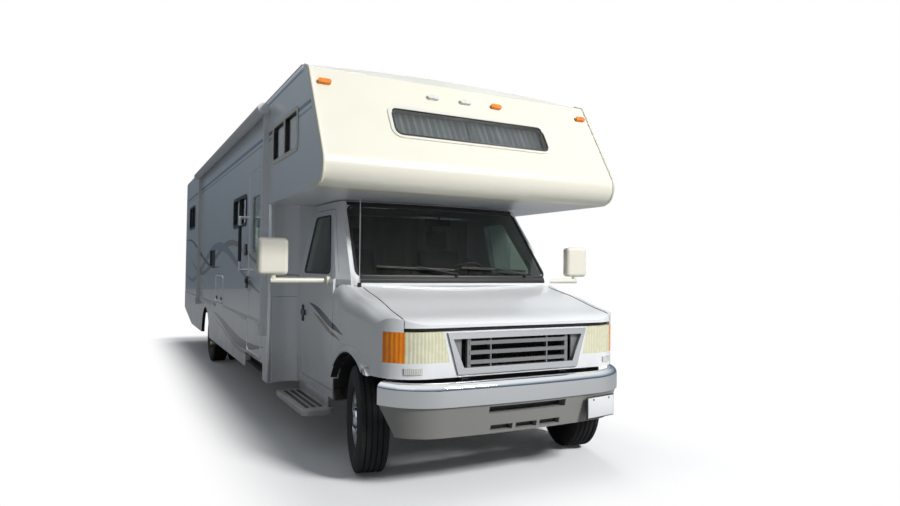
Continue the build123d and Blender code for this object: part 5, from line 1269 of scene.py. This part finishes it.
# %% [markdown]
# ## Cab flange
# A flat flange closes the step between the narrow cab and the wide coach. Its inner edge follows the
# slope of the cab's side, so each row of the grid is stretched from the cab's skin to the panel.
# %% Flange
FLANGE_Y = -2.6365
FLANGE_Z = (1.25, 1.990)
FLANGE_OUTER = 0.990
for side, sign in SIDES:
    form = bmesh.new()
    for vert in bmesh.ops.create_grid(form, x_segments=2, y_segments=14, size=0.5)["verts"]:
        z = FLANGE_Z[0] + (FLANGE_Z[1] - FLANGE_Z[0]) * (vert.co.y + 0.5)
        inner = abs(side_point(("cab_shell",), sign, -2.650, min(z, 1.975)).x) - 0.030
        vert.co = (sign * (inner + (FLANGE_OUTER - inner) * (vert.co.x + 0.5)), FLANGE_Y, z)
    front = verts_in(bmesh.ops.extrude_face_region(form, geom=form.faces[:])["geom"])
    bmesh.ops.translate(form, vec=(0, -0.004, 0), verts=front)
    finish_piece("cab_flange_" + side, form, "vehicle", "coach_white")

# %% [markdown]
# ## Small fittings
# A driving mirror hangs inside the screen, a black strip closes the top of the screen as a seal and as painted
# shade under the cap, and a porch lamp with a ribbed lens sits beside the entry door.
# %% Inside mirror, and header strip as seal and painted shade
form = bmesh.new()
foot = front_point(GLASS, 0.0, 1.885, -0.006)
add_tube(form, [foot, foot + Vector((0, 0.030, -0.020)), foot + Vector((0, 0.045, -0.050))], 0.007)
add_slab(form, foot + Vector((-0.125, 0.038, -0.082)), foot + Vector((0.125, 0.066, -0.022)), 0.012)
finish_piece("inside_mirror", form, "vehicle", "black_plastic")

# Painted shade under the cap: a black strip across the cab's header, partly standing for the seal there.
form = bmesh.new()
add_patch(form, ("cab_shell",), (-0.800, 0.800), (1.948, 1.978), 0.003, "front", cells=16)
finish_piece("header_seal_and_painted_shade", form, "vehicle", "black_plastic")

# %% Porch lamp
PORCH_Y, PORCH_Z = -1.50, 1.60
wall = abs(side_point(("coach_wall_kerb",), -1, PORCH_Y, PORCH_Z).x)
# Columns: name, inner and outer face from the wall, half length, half height, edge, slot, finish
for name, inner, outer, half_y, half_z, edge, slot, own in (
    ("porch_lamp_base", -0.001, 0.012, 0.070, 0.060, 0.008, "black_plastic", None),
    ("porch_lamp_lens", 0.010, 0.036, 0.060, 0.048, 0.012, "lamp_lens", clear_lens),
):
    form = bmesh.new()
    add_side_slab(form, -1, (wall + inner, wall + outer), (PORCH_Y - half_y, PORCH_Y + half_y),
                  (PORCH_Z - half_z, PORCH_Z + half_z), edge)
    finish_piece(name, form, "vehicle", slot, own)

# %% [markdown]
# ## Cab seats
# Each seat is foam under a woven cover. The foam is drawn as a slightly small block with bevelled edges,
# remeshed to an even skin, then blown up by a short cloth run with pressure, which crowns its faces and
# pulls its sides in between the corners.
# %% Swelling a pad
VOXEL = 0.011
PRESSURE = 4.0
SWELL_FRAMES = 16
SWELL_LIMIT = 0.016


def swell(form, name):
    """Blow a bmesh block up with cloth pressure; returns the swollen bmesh."""
    mesh = bpy.data.meshes.new(name)
    form.to_mesh(mesh)
    form.free()
    pad = bpy.data.objects.new(name, mesh)
    bpy.context.collection.objects.link(pad)
    skin = pad.modifiers.new("even_skin", "REMESH")
    skin.mode = "VOXEL"
    skin.voxel_size = VOXEL
    cloth = pad.modifiers.new("cover", "CLOTH")
    cloth.settings.use_pressure = True
    cloth.settings.uniform_pressure_force = PRESSURE
    cloth.settings.effector_weights.gravity = 0.0
    cloth.settings.quality = 4
    cloth.point_cache.frame_end = SWELL_FRAMES
    scene = bpy.context.scene
    cloth.show_viewport = False
    start = bpy.data.meshes.new_from_object(pad.evaluated_get(bpy.context.evaluated_depsgraph_get()))
    cloth.show_viewport = True
    for step in range(1, SWELL_FRAMES + 1):
        scene.frame_set(step)
    swollen = bpy.data.meshes.new_from_object(pad.evaluated_get(bpy.context.evaluated_depsgraph_get()))
    result = bmesh.new()
    result.from_mesh(swollen)
    result.verts.ensure_lookup_table()
    for vert, origin in zip(result.verts, start.vertices):
        moved = vert.co - origin.co
        if moved.length > SWELL_LIMIT:
            vert.co = origin.co + moved.normalized() * SWELL_LIMIT
    every_axis = {"use_axis_x": True, "use_axis_y": True, "use_axis_z": True}
    bmesh.ops.smooth_vert(result, verts=result.verts, factor=0.5, **every_axis)
    bpy.data.objects.remove(pad)
    scene.frame_set(1)
    return result


# %% Seat blocks
SEAT_X = 0.470
SEAT_HALF = 0.255
SHRINK = 0.014
SEAT_EDGE = 0.026
# Columns: name, half width, outline corners as (station, height) from the front axle
SEAT_PADS = (
    ("cushion", SEAT_HALF, ((1.010, 0.966), (1.520, 0.966), (1.520, 1.104), (1.010, 1.110))),
    ("back", SEAT_HALF, ((1.462, 1.112), (1.577, 1.112), (1.700, 1.640), (1.592, 1.640))),
    ("headrest", 0.130, ((1.614, 1.646), (1.692, 1.646), (1.733, 1.828), (1.654, 1.828))),
)


def seat_block(half, outline):
    """A bevelled block across the seat from its side outline, a little small."""
    block = bmesh.new()
    middle = sum((Vector(corner) for corner in outline), Vector((0, 0))) / len(outline)
    corners = []
    for corner in outline:
        spot = Vector(corner) + (middle - Vector(corner)).normalized() * SHRINK
        corners.append(block.verts.new((SEAT_X - half + SHRINK, FRONT_AXLE_Y + spot.x, spot.y)))
    side = block.faces.new(corners)
    moved = verts_in(bmesh.ops.extrude_face_region(block, geom=[side])["geom"])
    bmesh.ops.translate(block, vec=(2 * (half - SHRINK), 0, 0), verts=moved)
    bmesh.ops.recalc_face_normals(block, faces=block.faces)
    bmesh.ops.bevel(block, geom=block.edges[:], offset=SEAT_EDGE, segments=3, profile=0.5, affect="EDGES",
                    material=-1)
    return block


# %% Swollen pads
for name, half, outline in SEAT_PADS:
    pads = swell(seat_block(half, outline), "pad_" + name)
    mirrored = pads.copy()
    bmesh.ops.scale(mirrored, vec=(-1, 1, 1), verts=mirrored.verts)
    bmesh.ops.reverse_faces(mirrored, faces=mirrored.faces)
    for side, form in (("driver", pads), ("kerb", mirrored)):
        seat_piece = finish_piece("seat_" + name + "_" + side, form, "vehicle", "seat_fabric", sharp=80)
        cover = seat_piece.modifiers.new("smooth_cover", "SUBSURF")
        cover.levels = 1
        cover.render_levels = 1
        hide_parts("cab_seats")

# %% Seat bases and posts
form = bmesh.new()
posts = bmesh.new()
for sign in (-1, 1):
    spot = Vector((sign * SEAT_X, FRONT_AXLE_Y, 0))
    add_slab(form, spot + Vector((-0.195, 1.060, 0.770)), spot + Vector((0.195, 1.440, 0.962)), 0.012)
    for x in (-0.065, 0.065):
        add_rod(posts, spot + Vector((x, 1.632, 1.58)), spot + Vector((x, 1.672, 1.70)), 0.007)
base_piece = finish_piece("seat_bases", form, "vehicle", "dash_plastic")
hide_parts("cab_seats")
finish_piece("headrest_posts", posts, "vehicle", "wheel_chrome")

# %% [markdown]
# ## Curtains
# A curtain is a flat strip divided into many columns. Each column is moved forward or back along a wave
# whose depth drifts, so no two folds are alike. The flat width is measured along the folds.
# %% Gathered sheets
FOLD_COLUMNS = 12
FOLD_ROWS = 6


def hang_curtain(name, ends, foot, top, folds, drift, depth, cloth):
    """A gathered sheet between two x ends. Drift and depth are wave settings: size, rate, start."""
    form = bmesh.new()
    grid = bmesh.ops.create_grid(form, x_segments=folds * FOLD_COLUMNS, y_segments=FOLD_ROWS, size=0.5)
    for vert in grid["verts"]:
        share, rise = vert.co.x + 0.5, vert.co.y + 0.5
        wave = math.sin(math.tau * folds * share + drift[0] * math.sin(drift[1] * share + drift[2]))
        swing = depth[0] + depth[1] * math.sin(depth[2] * share + depth[3])
        hung = foot.lerp(top, rise)
        vert.co = (ends[0] + (ends[1] - ends[0]) * share, hung.y + swing * wave, hung.z)
    tall = (top - foot).length
    wide = sum(face.calc_area() for face in form.faces) / tall
    sheet = finish_piece(name, form, "vehicle", "seat_fabric", cloth, sharp=80)
    print(name, "flat size:", round(wide, 3), round(tall, 3))


# %% [markdown]
# Grey curtains close the cap's window. The window leans, so each of them is gathered between two rails,
# one above and one below it.
# %% Cap curtains and rails
CURTAIN_HEIGHTS = (2.705, 2.335)
CURTAIN_GAP = 0.034
RAIL_HALF = 0.770
upper, lower = (skin_point(CAP, (RAIL_HALF, 0, z), (0, -1, 0)) + Vector((0, CURTAIN_GAP, 0))
                for z in CURTAIN_HEIGHTS)
for name, start, end in (("cap_curtain_kerb", -0.740, -0.006), ("cap_curtain_driver", 0.006, 0.740)):
    hang_curtain(name, (start, end), lower, upper, 13, (0.9, 9.0, start), (0.016, 0.005, 23.0, 1.3 + start),
                 curtain_cloth)
form = bmesh.new()
for level in (upper, lower):
    add_rod(form, (-RAIL_HALF, level.y, level.z), (RAIL_HALF, level.y, level.z), 0.008)
    for x in (-RAIL_HALF + 0.01, RAIL_HALF - 0.01):
        add_rod(form, (x, level.y, level.z), (x, level.y - CURTAIN_GAP - 0.004, level.z), 0.010)
finish_piece("curtain_rails", form, "vehicle", "aluminium_trim")

# %% [markdown]
# A brown curtain is drawn across between cab and coach. Its rail hangs on three arms behind the bunk.
# %% Curtain behind the seats
CAB_CURTAIN_FOOT = Vector((0, -2.330, 0.900))
CAB_CURTAIN_TOP = Vector((0, -2.330, 1.945))
BUNK_REAR = -2.575
BUNK_MIDDLE = 2.014
hang_curtain("cab_curtain", (-0.900, 0.900), CAB_CURTAIN_FOOT, CAB_CURTAIN_TOP, 17, (0.8, 11.0, 0.0),
             (0.020, 0.006, 19.0, 0.6), cab_curtain_cloth)
form = bmesh.new()
rail = CAB_CURTAIN_TOP + Vector((0, 0, 0.008))
add_rod(form, rail - Vector((0.94, 0, 0)), rail + Vector((0.94, 0, 0)), 0.009)
for x in (-0.92, 0.0, 0.92):
    add_rod(form, rail + Vector((x, 0, 0)), (x, BUNK_REAR - 0.002, BUNK_MIDDLE), 0.006)
finish_piece("cab_curtain_rail", form, "vehicle", "aluminium_trim")
